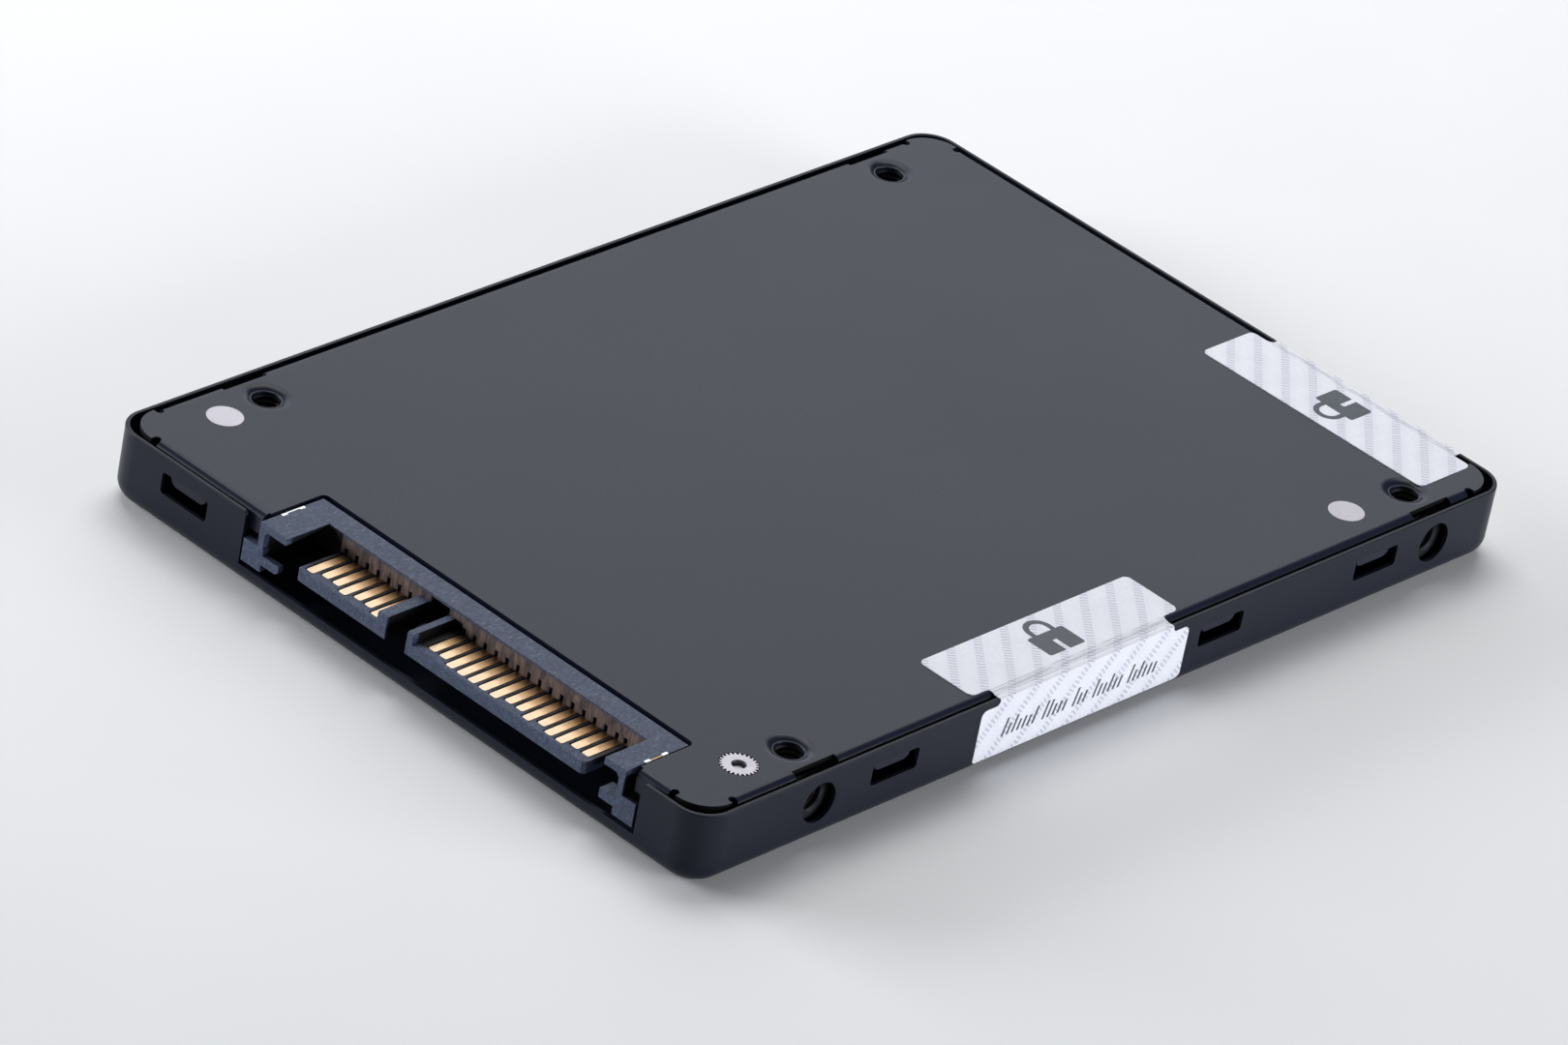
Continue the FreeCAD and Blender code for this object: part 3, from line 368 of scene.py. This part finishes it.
def bare_metal(name, colour, turned_scale, roughness):
    """Bare or plated metal with fine machining marks."""
    tree = Tree(name)
    marks = tree.noise(2.2, 5.0, place=tree.turned(0.35, (turned_scale, 0.6, 1.0)))
    stains = tree.noise(0.9, 3.0)
    mixed = tree.math("ADD", tree.math("MULTIPLY", marks, 0.5),
                      tree.math("MULTIPLY", stains, 0.5))
    body = tree.ramp(mixed, [(0.3, scaled(colour, 0.88)), (0.7, scaled(colour, 1.05))])
    rough = tree.spread(stains, roughness - 0.06, roughness + 0.1, 0.3, 0.7)
    return tree.finish(body, rough, tree.bump(marks, 0.006, 0.4), Metallic=1.0)


def clip_metal():
    """Tinned board lock, bright at its upright ends; the right-hand one is brassy in between."""
    tree = Tree("clip_tin")
    middle = PLUG_FRONT + PLUG_REACH - BRASS_MIDDLE
    brass = tree.within(tree.axis("Y"), middle - BRASS_HALF, middle + BRASS_HALF, 0.08)
    brass = tree.math("MULTIPLY", brass, tree.spread(tree.axis("X"), 0.0, 1.0, -1.0, 1.0))
    marks = tree.noise(2.2, 5.0, place=tree.turned(0.35, (3.0, 0.6, 1.0)))
    tin = tree.ramp(marks, [(0.3, srgb(240, 240, 242)), (0.7, srgb(252, 252, 252))])
    body = tree.blend(brass, tin, srgb(196, 160, 104))
    rough = tree.spread(marks, 0.30, 0.44, 0.3, 0.7)
    return tree.finish(body, rough, tree.bump(marks, 0.006, 0.4), Metallic=0.5)


def seal_film(name, seam, outward, fold):
    """Silver-white film with a faint diagonal security weave, and painted shade in thin lines
    along a few creases by the fold.
    """
    tree = Tree(name)
    slanted, out = tree.sheet(seam, outward, math.radians(-42))
    crossed, _ = tree.sheet(seam, outward, math.radians(48))
    lines = tree.bands(0.13, slanted)
    dashes = tree.bands(0.75, crossed, 3.0)
    grey = tree.math("MULTIPLY", tree.spread(lines, 0.0, 1.0, 0.74, 0.82),
                     tree.spread(dashes, 0.0, 1.0, 0.45, 0.6))
    white = tree.math("MULTIPLY", tree.spread(lines, 1.0, 0.0, 0.16, 0.24),
                      tree.spread(dashes, 1.0, 0.0, 0.45, 0.6))
    fibre = tree.noise(3.0, 4.0)
    body = speckled(tree, srgb(235, 235, 244), 0.5, 0.97, 1.03)
    body = tree.blend(tree.math("MULTIPLY", grey, 0.6), body, srgb(176, 180, 194))
    body = tree.blend(tree.math("MULTIPLY", white, 0.6), body, srgb(246, 246, 250))
    stretched, _ = tree.sheet(seam, outward, 0.0, (0.35, 3.0, 1.0))
    broken = tree.spread(tree.noise(1.0, 2.0, place=stretched), 0.0, 0.7, 0.42, 0.52)
    # painted shade along the creases, broken up by noise
    crease_shade = None
    for offset in CREASES:
        middle = fold + offset
        line = tree.within(out, middle - CREASE_HALF, middle + CREASE_HALF, CRISP)
        crease_shade = line if crease_shade is None else tree.math("ADD", crease_shade, line)
    body = tree.blend(tree.math("MULTIPLY", crease_shade, broken), body, srgb(128, 128, 146))
    rough = tree.math("ADD", tree.spread(fibre, 0.32, 0.44, 0.3, 0.7),
                      tree.math("MULTIPLY", white, -0.1))
    normal = tree.bump(tree.noise(0.45, 2.0), 0.02, 0.3, tree.bump(fibre, 0.002, 0.4))
    return tree.finish(body, rough, normal, Specular_IOR_Level=0.4)


def label_film():
    """Blank label film, evenly mottled."""
    tree = Tree("label_film")
    body = speckled(tree, srgb(206, 208, 214), 1.2, 0.95, 1.04)
    rough = tree.spread(tree.noise(2.0), 0.34, 0.46, 0.3, 0.7)
    return tree.finish(body, rough, tree.bump(tree.noise(1.0, 3.0), 0.006, 0.3))


def ink():
    """Dark grey print, thin and a little uneven."""
    tree = Tree("seal_ink")
    body = speckled(tree, srgb(62, 69, 78), 4.0, 0.85, 1.2)
    rough = tree.spread(tree.noise(5.0), 0.4, 0.55, 0.3, 0.7)
    return tree.finish(body, rough)


def plain(name, colour, roughness, scale, depth, metallic=0.0):
    """Simple finish for the pieces inside the case: mottled colour, uneven gloss and fine bump."""
    tree = Tree(name)
    body = speckled(tree, colour, scale, 0.85, 1.15)
    rough = tree.spread(tree.noise(scale * 1.7), roughness - 0.07, roughness + 0.07, 0.3, 0.7)
    normal = tree.bump(tree.noise(scale * 2.0), depth, 0.5)
    return tree.finish(body, rough, normal, Metallic=metallic)


def board_mask():
    """Solder-masked board: dark green with faint copper tracks under the lacquer."""
    tree = Tree("board_mask")
    across = tree.bands(0.55, tree.turned(0.0), 3.0)
    along = tree.bands(0.40, tree.turned(math.pi / 2), 3.0)
    tracks = tree.spread(tree.math("MULTIPLY", across, along), 0.0, 0.8, 0.35, 0.5)
    body = tree.blend(tracks, speckled(tree, srgb(14, 40, 29), 3.0, 0.9, 1.1), srgb(26, 66, 44))
    rough = tree.spread(tree.noise(2.0), 0.28, 0.4, 0.3, 0.7)
    return tree.finish(body, rough, tree.bump(tracks, 0.02, 0.4))


SLOTS = {
    "shell_paint": paint("shell_coat", srgb(27, 31, 43), 0.36, 0.16),
    "cover_paint": paint("cover_coat", srgb(26, 30, 47), 0.30, 0.25, painted_recess_shade),
    "block_metal": plain("block_anodised", srgb(56, 58, 64), 0.38, 3.0, 0.01, 0.6),
    "standoff_metal": bare_metal("standoff_nickel", srgb(180, 177, 183), 5.0, 0.46),
    "screw_metal": bare_metal("screw_zinc", srgb(190, 190, 196), 5.0, 0.35),
    "plug_plastic": moulding(),
    "contact_gold": gold(),
    "clip_metal": clip_metal(),
    "board_green": board_mask(),
    "chip_black": plain("chip_epoxy", srgb(38, 38, 41), 0.5, 5.0, 0.006),
    "inductor_grey": plain("inductor_ferrite", srgb(80, 80, 84), 0.55, 3.0, 0.02),
    "ceramic_tan": plain("capacitor_ceramic", srgb(166, 134, 98), 0.4, 4.0, 0.006),
    "tantalum_yellow": plain("capacitor_moulding", srgb(200, 152, 52), 0.45, 3.0, 0.008),
    "crystal_can": plain("crystal_plate", srgb(200, 200, 204), 0.3, 2.0, 0.004, 1.0),
    "pad_grey": plain("silicone_pad", srgb(146, 156, 168), 0.7, 1.5, 0.03),
    "seal_film": seal_film("side_seal_film", "Y", "X", (HALF_W - TOP) / MM),
    "label_film": label_film(),
}
INK = ink()
BACK_FILM = seal_film("back_seal_film", "X", "Y", (HALF_L - TOP) / MM)
# painted shade: the thread ridges are coloured darker than the metal round them
THREAD_SHADE = plain("thread_shade", srgb(24, 25, 30), 0.36, 4.0, 0.006)

for entry in record["subparts"]:
    carried = nodes[entry["node"]]
    for material_slot in carried.material_slots:
        material_slot.material = SLOTS[entry["material_slot"]]
for material_slot in nodes["tamper_seal_back"].material_slots:
    material_slot.material = BACK_FILM


# ---- mesh helpers -----------------------------------------------------------------------
def make_piece(name, mesh_builder, material):
    """Turns a bmesh into a piece that rides on the drive, smooth except at its sharp edges."""
    mesh = bpy.data.meshes.new(name)
    mesh_builder.to_mesh(mesh)
    mesh_builder.free()
    for polygon in mesh.polygons:
        polygon.use_smooth = True
    mesh.set_sharp_from_angle(angle=SMOOTH_ANGLE)
    piece = bpy.data.objects.new(name, mesh)
    bpy.context.scene.collection.objects.link(piece)
    mesh.materials.append(material)
    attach(piece, "root")
    return piece


def thread_ridge(name, mouth, outward, bore_radius, length):
    """The helical crest of an internal thread, standing in from the bore wall."""
    count = int(THREAD_STEPS * (length / THREAD_PITCH))
    run_out = THREAD_STEPS / 3
    outward = Vector(outward).normalized()
    side = outward.orthogonal().normalized()
    other = outward.cross(side)
    foot, crest = THREAD_PITCH * THREAD_FOOT, THREAD_PITCH * THREAD_CREST
    foot_r, crest_r = bore_radius + THREAD_SINK, bore_radius - THREAD_DEPTH
    section = ((foot_r, -foot), (crest_r, -crest), (crest_r, crest), (foot_r, foot))
    mesh = bmesh.new()
    rings = []
    for step in range(count + 1):
        angle = 2 * math.pi * step / THREAD_STEPS
        radial = side * math.cos(angle) + other * math.sin(angle)
        depth = THREAD_PITCH * step / THREAD_STEPS + foot
        fade = min(1.0, step / run_out, (count - step) / run_out)
        ring = []
        for radius, along in section:
            inset = (bore_radius - radius) * fade
            spot = Vector(mouth) + radial * (bore_radius - inset) - outward * (depth - along)
            ring.append(mesh.verts.new(spot))
        rings.append(ring)
    for ring, following in zip(rings, rings[1:]):
        for index in range(4):
            nearby = (index + 1) % 4
            mesh.faces.new((ring[index], ring[nearby], following[nearby], following[index]))
    mesh.faces.new(list(reversed(rings[0])))
    mesh.faces.new(rings[-1])
    bmesh.ops.recalc_face_normals(mesh, faces=mesh.faces)
    make_piece(name, mesh, THREAD_SHADE)


def rounded(points, radii, steps=8):
    """Closed outline with each corner replaced by an arc of its own radius."""
    outline = []
    count = len(points)
    for index, (corner, radius) in enumerate(zip(points, radii)):
        corner = Vector(corner)
        before = (Vector(points[index - 1]) - corner).normalized()
        after = (Vector(points[(index + 1) % count]) - corner).normalized()
        half_angle = before.angle(after) / 2
        reach = radius / math.tan(half_angle)
        centre = corner + (before + after).normalized() * (radius / math.sin(half_angle))
        start = corner + before * reach - centre
        finish = corner + after * reach - centre
        turn = start.angle_signed(finish)
        for step in range(steps + 1):
            arm = start.copy()
            arm.rotate(Matrix.Rotation(-turn * step / steps, 2))
            outline.append(centre + arm)
    return outline


# ---- threads in the mounting holes --------------------------------------------------------
for number, centre in enumerate(face_centres, 1):
    mouth = Vector((centre.x, centre.y, TOP - FACE_MOUTH))
    thread_ridge(f"face_thread_{number}", mouth, UP, BORE_R, FACE_THREAD)
for side_name, sign in (("right", 1), ("left", -1)):
    pattern = mounts[side_name + "_screw_holes"]
    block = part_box("mount_block_front_" + side_name)
    face_x = block[1].x if sign > 0 else block[0].x
    for number, centre in enumerate(mount_centres(pattern, (0, 1, 0), None), 1):
        mouth = Vector((face_x - sign * SIDE_MOUTH, centre.y, centre.z))
        thread_ridge(f"{side_name}_thread_{number}", mouth, (sign, 0, 0), BORE_R, SIDE_THREAD)


# ---- tamper seals -----------------------------------------------------------------------
EDGE_BEND_R = 0.12 * MM
COVER_BEND_X = 1.44 * MM      # the cover starts to bend down this far inside the wall face
COVER_BEND_END = 0.36 * MM    # and is down on the rim this far inside it
SHELL_EDGE_R = 1.8 * MM
SEAM_INSET, SEAM_HALF, SEAM_SAG = 0.62 * MM, 0.16 * MM, 0.04 * MM   # film's dip into the seam
SEAL_CORNER_R = 0.6 * MM
NECK_CORNER_R = 0.45 * MM
SEAL_T = side_seal_high.z - TOP
SEAL_GAP = 0.004 * MM         # the film floats this far off the case
FILM_T = SEAL_T * 0.9
INK_T = 0.008 * MM
STRIP = 0.5 * MM              # length of one facet on the flat
FINE_START, FINE_STRIP, FINE_COUNT = 1.6 * MM, 0.05 * MM, 42        # finer over the seam


def seal_point(along_film, height, reach, wall_face):
    """Bends the flat film over the seam; returns (outward, z) for a film point.

    along_film runs from the flap's inner edge outward and then down the wall, height is
    measured from the case, and reach is where the inner edge lies.
    """
    flat = wall_face - EDGE_BEND_R - reach
    bend = EDGE_BEND_R * math.pi / 2
    wall = (RIM - EDGE_BEND_R) - SHELL_EDGE_R
    if along_film <= flat:
        outward = reach + along_film
        slope = (outward - wall_face + COVER_BEND_X) / (COVER_BEND_X - COVER_BEND_END)
        slope = min(1.0, max(0.0, slope))
        drop = (TOP - RIM) * slope * slope * (3 - 2 * slope)
        seam = (outward - (wall_face - SEAM_INSET)) / SEAM_HALF
        return outward, TOP + height - drop - SEAM_SAG * math.exp(-seam * seam)
    if along_film <= flat + bend:
        angle = (along_film - flat) / EDGE_BEND_R
        radius = EDGE_BEND_R + height
        return (wall_face - EDGE_BEND_R + radius * math.sin(angle),
                RIM - EDGE_BEND_R + radius * math.cos(angle))
    down = along_film - flat - bend
    if down <= wall:
        return wall_face + height, RIM - EDGE_BEND_R - down
    angle = (down - wall) / SHELL_EDGE_R
    radius = SHELL_EDGE_R + height
    return (wall_face - SHELL_EDGE_R + radius * math.cos(angle),
            SHELL_EDGE_R - radius * math.sin(angle))


def film_length(reach, wall_face, z):
    """Film distance from the inner edge to a height on the flat of the wall or its base curve."""
    flat = wall_face - EDGE_BEND_R - reach + EDGE_BEND_R * math.pi / 2
    if z >= SHELL_EDGE_R:
        return flat + RIM - EDGE_BEND_R - z
    turned = math.asin((SHELL_EDGE_R - z) / SHELL_EDGE_R)
    return flat + RIM - EDGE_BEND_R - SHELL_EDGE_R + SHELL_EDGE_R * turned


def bent_film(name, outline, base, thickness, reach, wall_face, place, material):
    """Cuts a flat outline of (along film, across) into strips, thickens it and bends it."""
    mesh = bmesh.new()
    mesh.faces.new([mesh.verts.new((point[0], point[1], 0)) for point in outline])
    low = min(point[0] for point in outline)
    high = max(point[0] for point in outline)
    flat = wall_face - EDGE_BEND_R - reach
    cuts = [low + STRIP * step for step in range(1, int((high - low) / STRIP) + 1)]
    cuts += [flat - FINE_START + FINE_STRIP * step for step in range(FINE_COUNT)]
    for cut in sorted(set(cuts)):
        if low < cut < high:
            geometry = list(mesh.verts) + list(mesh.edges) + list(mesh.faces)
            bmesh.ops.bisect_plane(mesh, geom=geometry, plane_co=(cut, 0, 0), plane_no=(1, 0, 0))
    sheet = list(mesh.faces)
    lifted = bmesh.ops.extrude_face_region(mesh, geom=sheet)
    raised = [item for item in lifted["geom"] if isinstance(item, bmesh.types.BMVert)]
    for vert in mesh.verts:
        vert.co.z = base
    for vert in raised:
        vert.co.z = base + thickness
    for vert in mesh.verts:
        outward, z = seal_point(vert.co.x, vert.co.z, reach, wall_face)
        vert.co = place(outward, vert.co.y, z)
    bmesh.ops.recalc_face_normals(mesh, faces=mesh.faces)
    return make_piece(name, mesh, material)


def seal(name, node, reach, flap_end, wall_face, across, place, film):
    """One seal: flap on the cover, narrower neck over the seam, flap on the wall."""
    low, high = across
    neck_low, neck_high = low + NECK_INSET, high - NECK_INSET
    top_end = flap_end - reach
    neck_end = film_length(reach, wall_face, SEAL_SHOULDER_Z)
    end = film_length(reach, wall_face, SEAL_BASE_Z)
    points = [(0, low), (top_end, low), (top_end, neck_low), (neck_end, neck_low),
              (neck_end, low), (end, low), (end, high), (neck_end, high),
              (neck_end, neck_high), (top_end, neck_high), (top_end, high), (0, high)]
    big, small = SEAL_CORNER_R, NECK_CORNER_R
    radii = [big, big, small, small, big, big, big, big, small, small, big, big]
    piece = bent_film(name, rounded(points, radii), SEAL_GAP, FILM_T, reach, wall_face, place,
                      film)
    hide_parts(node)


def on_right(outward, across, z):
    """Places film coordinates on the right-hand seam."""
    return Vector((outward, across, z))


def on_back(outward, across, z):
    """Places film coordinates on the back seam."""
    return Vector((across, outward, z))


SIDE_FLAP, BACK_FLAP = 6.0 * MM, 6.7 * MM     # the seals' flaps on the cover
NECK_INSET = 2.1 * MM
SEAL_BASE_Z = 1.1 * MM
SEAL_SHOULDER_Z = 6.3 * MM
side_across = (side_seal_low.y, side_seal_high.y)
back_across = (back_seal_low.x, back_seal_high.x)
SIDE_REACH = side_seal_low.x
BACK_REACH = back_seal_low.y
seal("side_seal_film", "tamper_seal_side", SIDE_REACH, SIDE_REACH + SIDE_FLAP, HALF_W,
     side_across, on_right, SLOTS["seal_film"])
seal("back_seal_film", "tamper_seal_back", BACK_REACH, BACK_REACH + BACK_FLAP, HALF_L,
     back_across, on_back, BACK_FILM)


def padlock_mark(name, centre, size, reach, wall_face, place):
    """Generic printed mark: a padlock with a slot in its body."""
    along, across = centre
    half_w, body_h, slot = 0.40 * size, 0.52 * size, 0.045 * size
    slot_start, corner_r, slot_r = 0.22 * size, 0.05 * size, 0.01 * size
    corners = [(along, across - half_w), (along + body_h, across - half_w),
               (along + body_h, across - slot), (along + slot_start, across - slot),
               (along + slot_start, across + slot), (along + body_h, across + slot),
               (along + body_h, across + half_w), (along, across + half_w)]
    radii = [corner_r] * 2 + [slot_r] * 4 + [corner_r] * 2
    bent_film(name + "_body", rounded(corners, radii, 5), FILM_T, INK_T, reach, wall_face,
              place, INK)
    big, small, lift = 0.26 * size, 0.16 * size, 0.10 * size
    arc = [math.pi * step / 16 for step in range(17)]
    top = along - lift
    outline = [(along, across + big)]
    outline += [(top - big * math.sin(a), across + big * math.cos(a)) for a in arc]
    outline += [(along, across - big), (along, across - small)]
    outline += [(top - small * math.sin(a), across + small * math.cos(a))
                for a in reversed(arc)]
    outline += [(along, across + small)]
    bent_film(name + "_shackle", outline, FILM_T, INK_T, reach, wall_face, place, INK)


STROKE_Z = 3.75 * MM
STROKE_HALF = 0.85 * MM
STROKE_LEAN = 0.30
STROKE_W = 0.26 * MM
STROKE_STEP = 0.62 * MM
STROKE_LEVELS = (0.62, 0.66, 0.60, 0.95)
STROKE_GROUPS = (7, 5, 3, 6, 6)


def stroke_row(name, start, reach, wall_face, place):
    """Slanted strokes in uneven groups: a plain hatch that stands in for a line of print."""
    middle = film_length(reach, wall_face, STROKE_Z)
    across = start
    for number, count in enumerate(STROKE_GROUPS, 1):
        for step in range(count):
            level = STROKE_LEVELS[(step + number) % len(STROKE_LEVELS)]
            half = STROKE_HALF * (1.0 if step == 0 else level)
            foot = middle + STROKE_HALF
            lean = STROKE_LEAN * half
            corners = [(foot - 2 * half, across + 2 * lean), (foot, across),
                       (foot, across + STROKE_W), (foot - 2 * half, across + 2 * lean + STROKE_W)]
            bent_film(f"{name}_{number}_{step + 1}", [Vector(corner) for corner in corners],
                      FILM_T, INK_T, reach, wall_face, place, INK)
            across += STROKE_STEP
        across += STROKE_STEP


PADLOCK_SIZE = 5.4 * MM
PRINT_INSET = 3.0 * MM
padlock_mark("side_seal_padlock", (2.5 * MM, side_across[0] + 12.6 * MM), PADLOCK_SIZE,
             SIDE_REACH, HALF_W, on_right)
padlock_mark("back_seal_padlock", (3.0 * MM, back_across[0] + 12.8 * MM), PADLOCK_SIZE,
             BACK_REACH, HALF_L, on_back)
stroke_row("side_seal_print", side_across[0] + PRINT_INSET, SIDE_REACH, HALF_W, on_right)
stroke_row("back_seal_print", back_across[0] + PRINT_INSET, BACK_REACH, HALF_L, on_back)


# ---- floor, light and camera ------------------------------------------------------------
# angles in degrees, distances and sizes in metres; the target in millimetres from the centre
CAMERA_AZIMUTH = 38.41
CAMERA_ELEVATION = 30.59
CAMERA_ROLL = 11.207
CAMERA_DISTANCE = 0.7943
CAMERA_LENS = 217.4
CAMERA_TARGET = (2.64, -6.85, 0.0)
SENSOR_WIDTH = 36
CLIP_START, CLIP_END = 0.05, 20
FLOOR_HALF = 6.0
COOL = (0.93, 0.96, 1.0)
WORLD_COLOUR = (0.93, 0.95, 1.0, 1)
WORLD_STRENGTH = 0.07
# name, azimuth, elevation, distance, size, power, colour
LIGHTS = (
    ("overhead", 232, 62, 0.60, (0.5, 0.35), 1.9, (1, 1, 1)),
    ("backdrop", 230, 26, 0.40, (0.40, 0.20), 0.42, (0.92, 0.95, 1.0)),
    ("left_softbox", -60, 13, 0.60, (0.4, 0.22), 3.7, COOL),
    ("right_softbox", 112, 10, 0.55, (0.35, 0.2), 2.4, COOL),
)


def floor_material():
    """Pale matt studio table."""
    tree = Tree("studio_floor")
    body = speckled(tree, srgb(250, 250, 251), 0.05, 0.99, 1.01)
    rough = tree.spread(tree.noise(0.2), 0.75, 0.85, 0.3, 0.7)
    return tree.finish(body, rough)


def floor():
    """Large flat floor that the drive lies on."""
    mesh = bmesh.new()
    bmesh.ops.create_grid(mesh, x_segments=8, y_segments=8, size=FLOOR_HALF)
    data = bpy.data.meshes.new("studio_floor")
    mesh.to_mesh(data)
    mesh.free()
    data.materials.append(floor_material())
    plane = bpy.data.objects.new("studio_floor", data)
    plane.location = (0, 0, cad_low.z)
    bpy.context.scene.collection.objects.link(plane)


def area_light(name, azimuth, elevation, distance, size, power, colour):
    """Soft box aimed at the drive; azimuth and elevation as for the camera."""
    data = bpy.data.lights.new(name, "AREA")
    data.shape = "RECTANGLE"
    data.size, data.size_y = size
    data.energy = power
    data.color = colour
    light = bpy.data.objects.new(name, data)
    back = direction(azimuth, elevation)
    light.location = back * distance
    light.rotation_mode = "QUATERNION"
    light.rotation_quaternion = (-back).to_track_quat("-Z", "Y")
    bpy.context.scene.collection.objects.link(light)


def direction(azimuth, elevation):
    """Unit vector towards the viewer; azimuth 0 looks along +Y."""
    a, e = math.radians(azimuth), math.radians(elevation)
    return Vector((math.sin(a) * math.cos(e), -math.cos(a) * math.cos(e), math.sin(e)))


def camera():
    """The photograph's viewing angle: long lens, slightly rolled."""
    data = bpy.data.cameras.new("camera")
    data.sensor_width = SENSOR_WIDTH
    data.lens = CAMERA_LENS
    data.clip_start = CLIP_START
    data.clip_end = CLIP_END
    viewer = bpy.data.objects.new("camera", data)
    back = direction(CAMERA_AZIMUTH, CAMERA_ELEVATION)
    level_x = UP.cross(back).normalized()
    level_y = back.cross(level_x)
    roll = math.radians(CAMERA_ROLL)
    x = level_x * math.cos(roll) + level_y * math.sin(roll)
    y = level_y * math.cos(roll) - level_x * math.sin(roll)
    turned = Matrix((x, y, back)).transposed()
    centre = Vector((0, 0, (cad_low.z + TOP) / 2))
    target = centre + Vector(CAMERA_TARGET) * MM
    viewer.matrix_world = Matrix.Translation(target + back * CAMERA_DISTANCE) @ turned.to_4x4()
    bpy.context.scene.collection.objects.link(viewer)
    bpy.context.scene.camera = viewer


floor()
camera()

world = bpy.data.worlds.new("studio")
world.use_nodes = True
world.node_tree.nodes["Background"].inputs[0].default_value = WORLD_COLOUR
world.node_tree.nodes["Background"].inputs[1].default_value = WORLD_STRENGTH
bpy.context.scene.world = world

for light_values in LIGHTS:
    area_light(*light_values)

bpy.context.scene.view_settings.view_transform = "Standard"
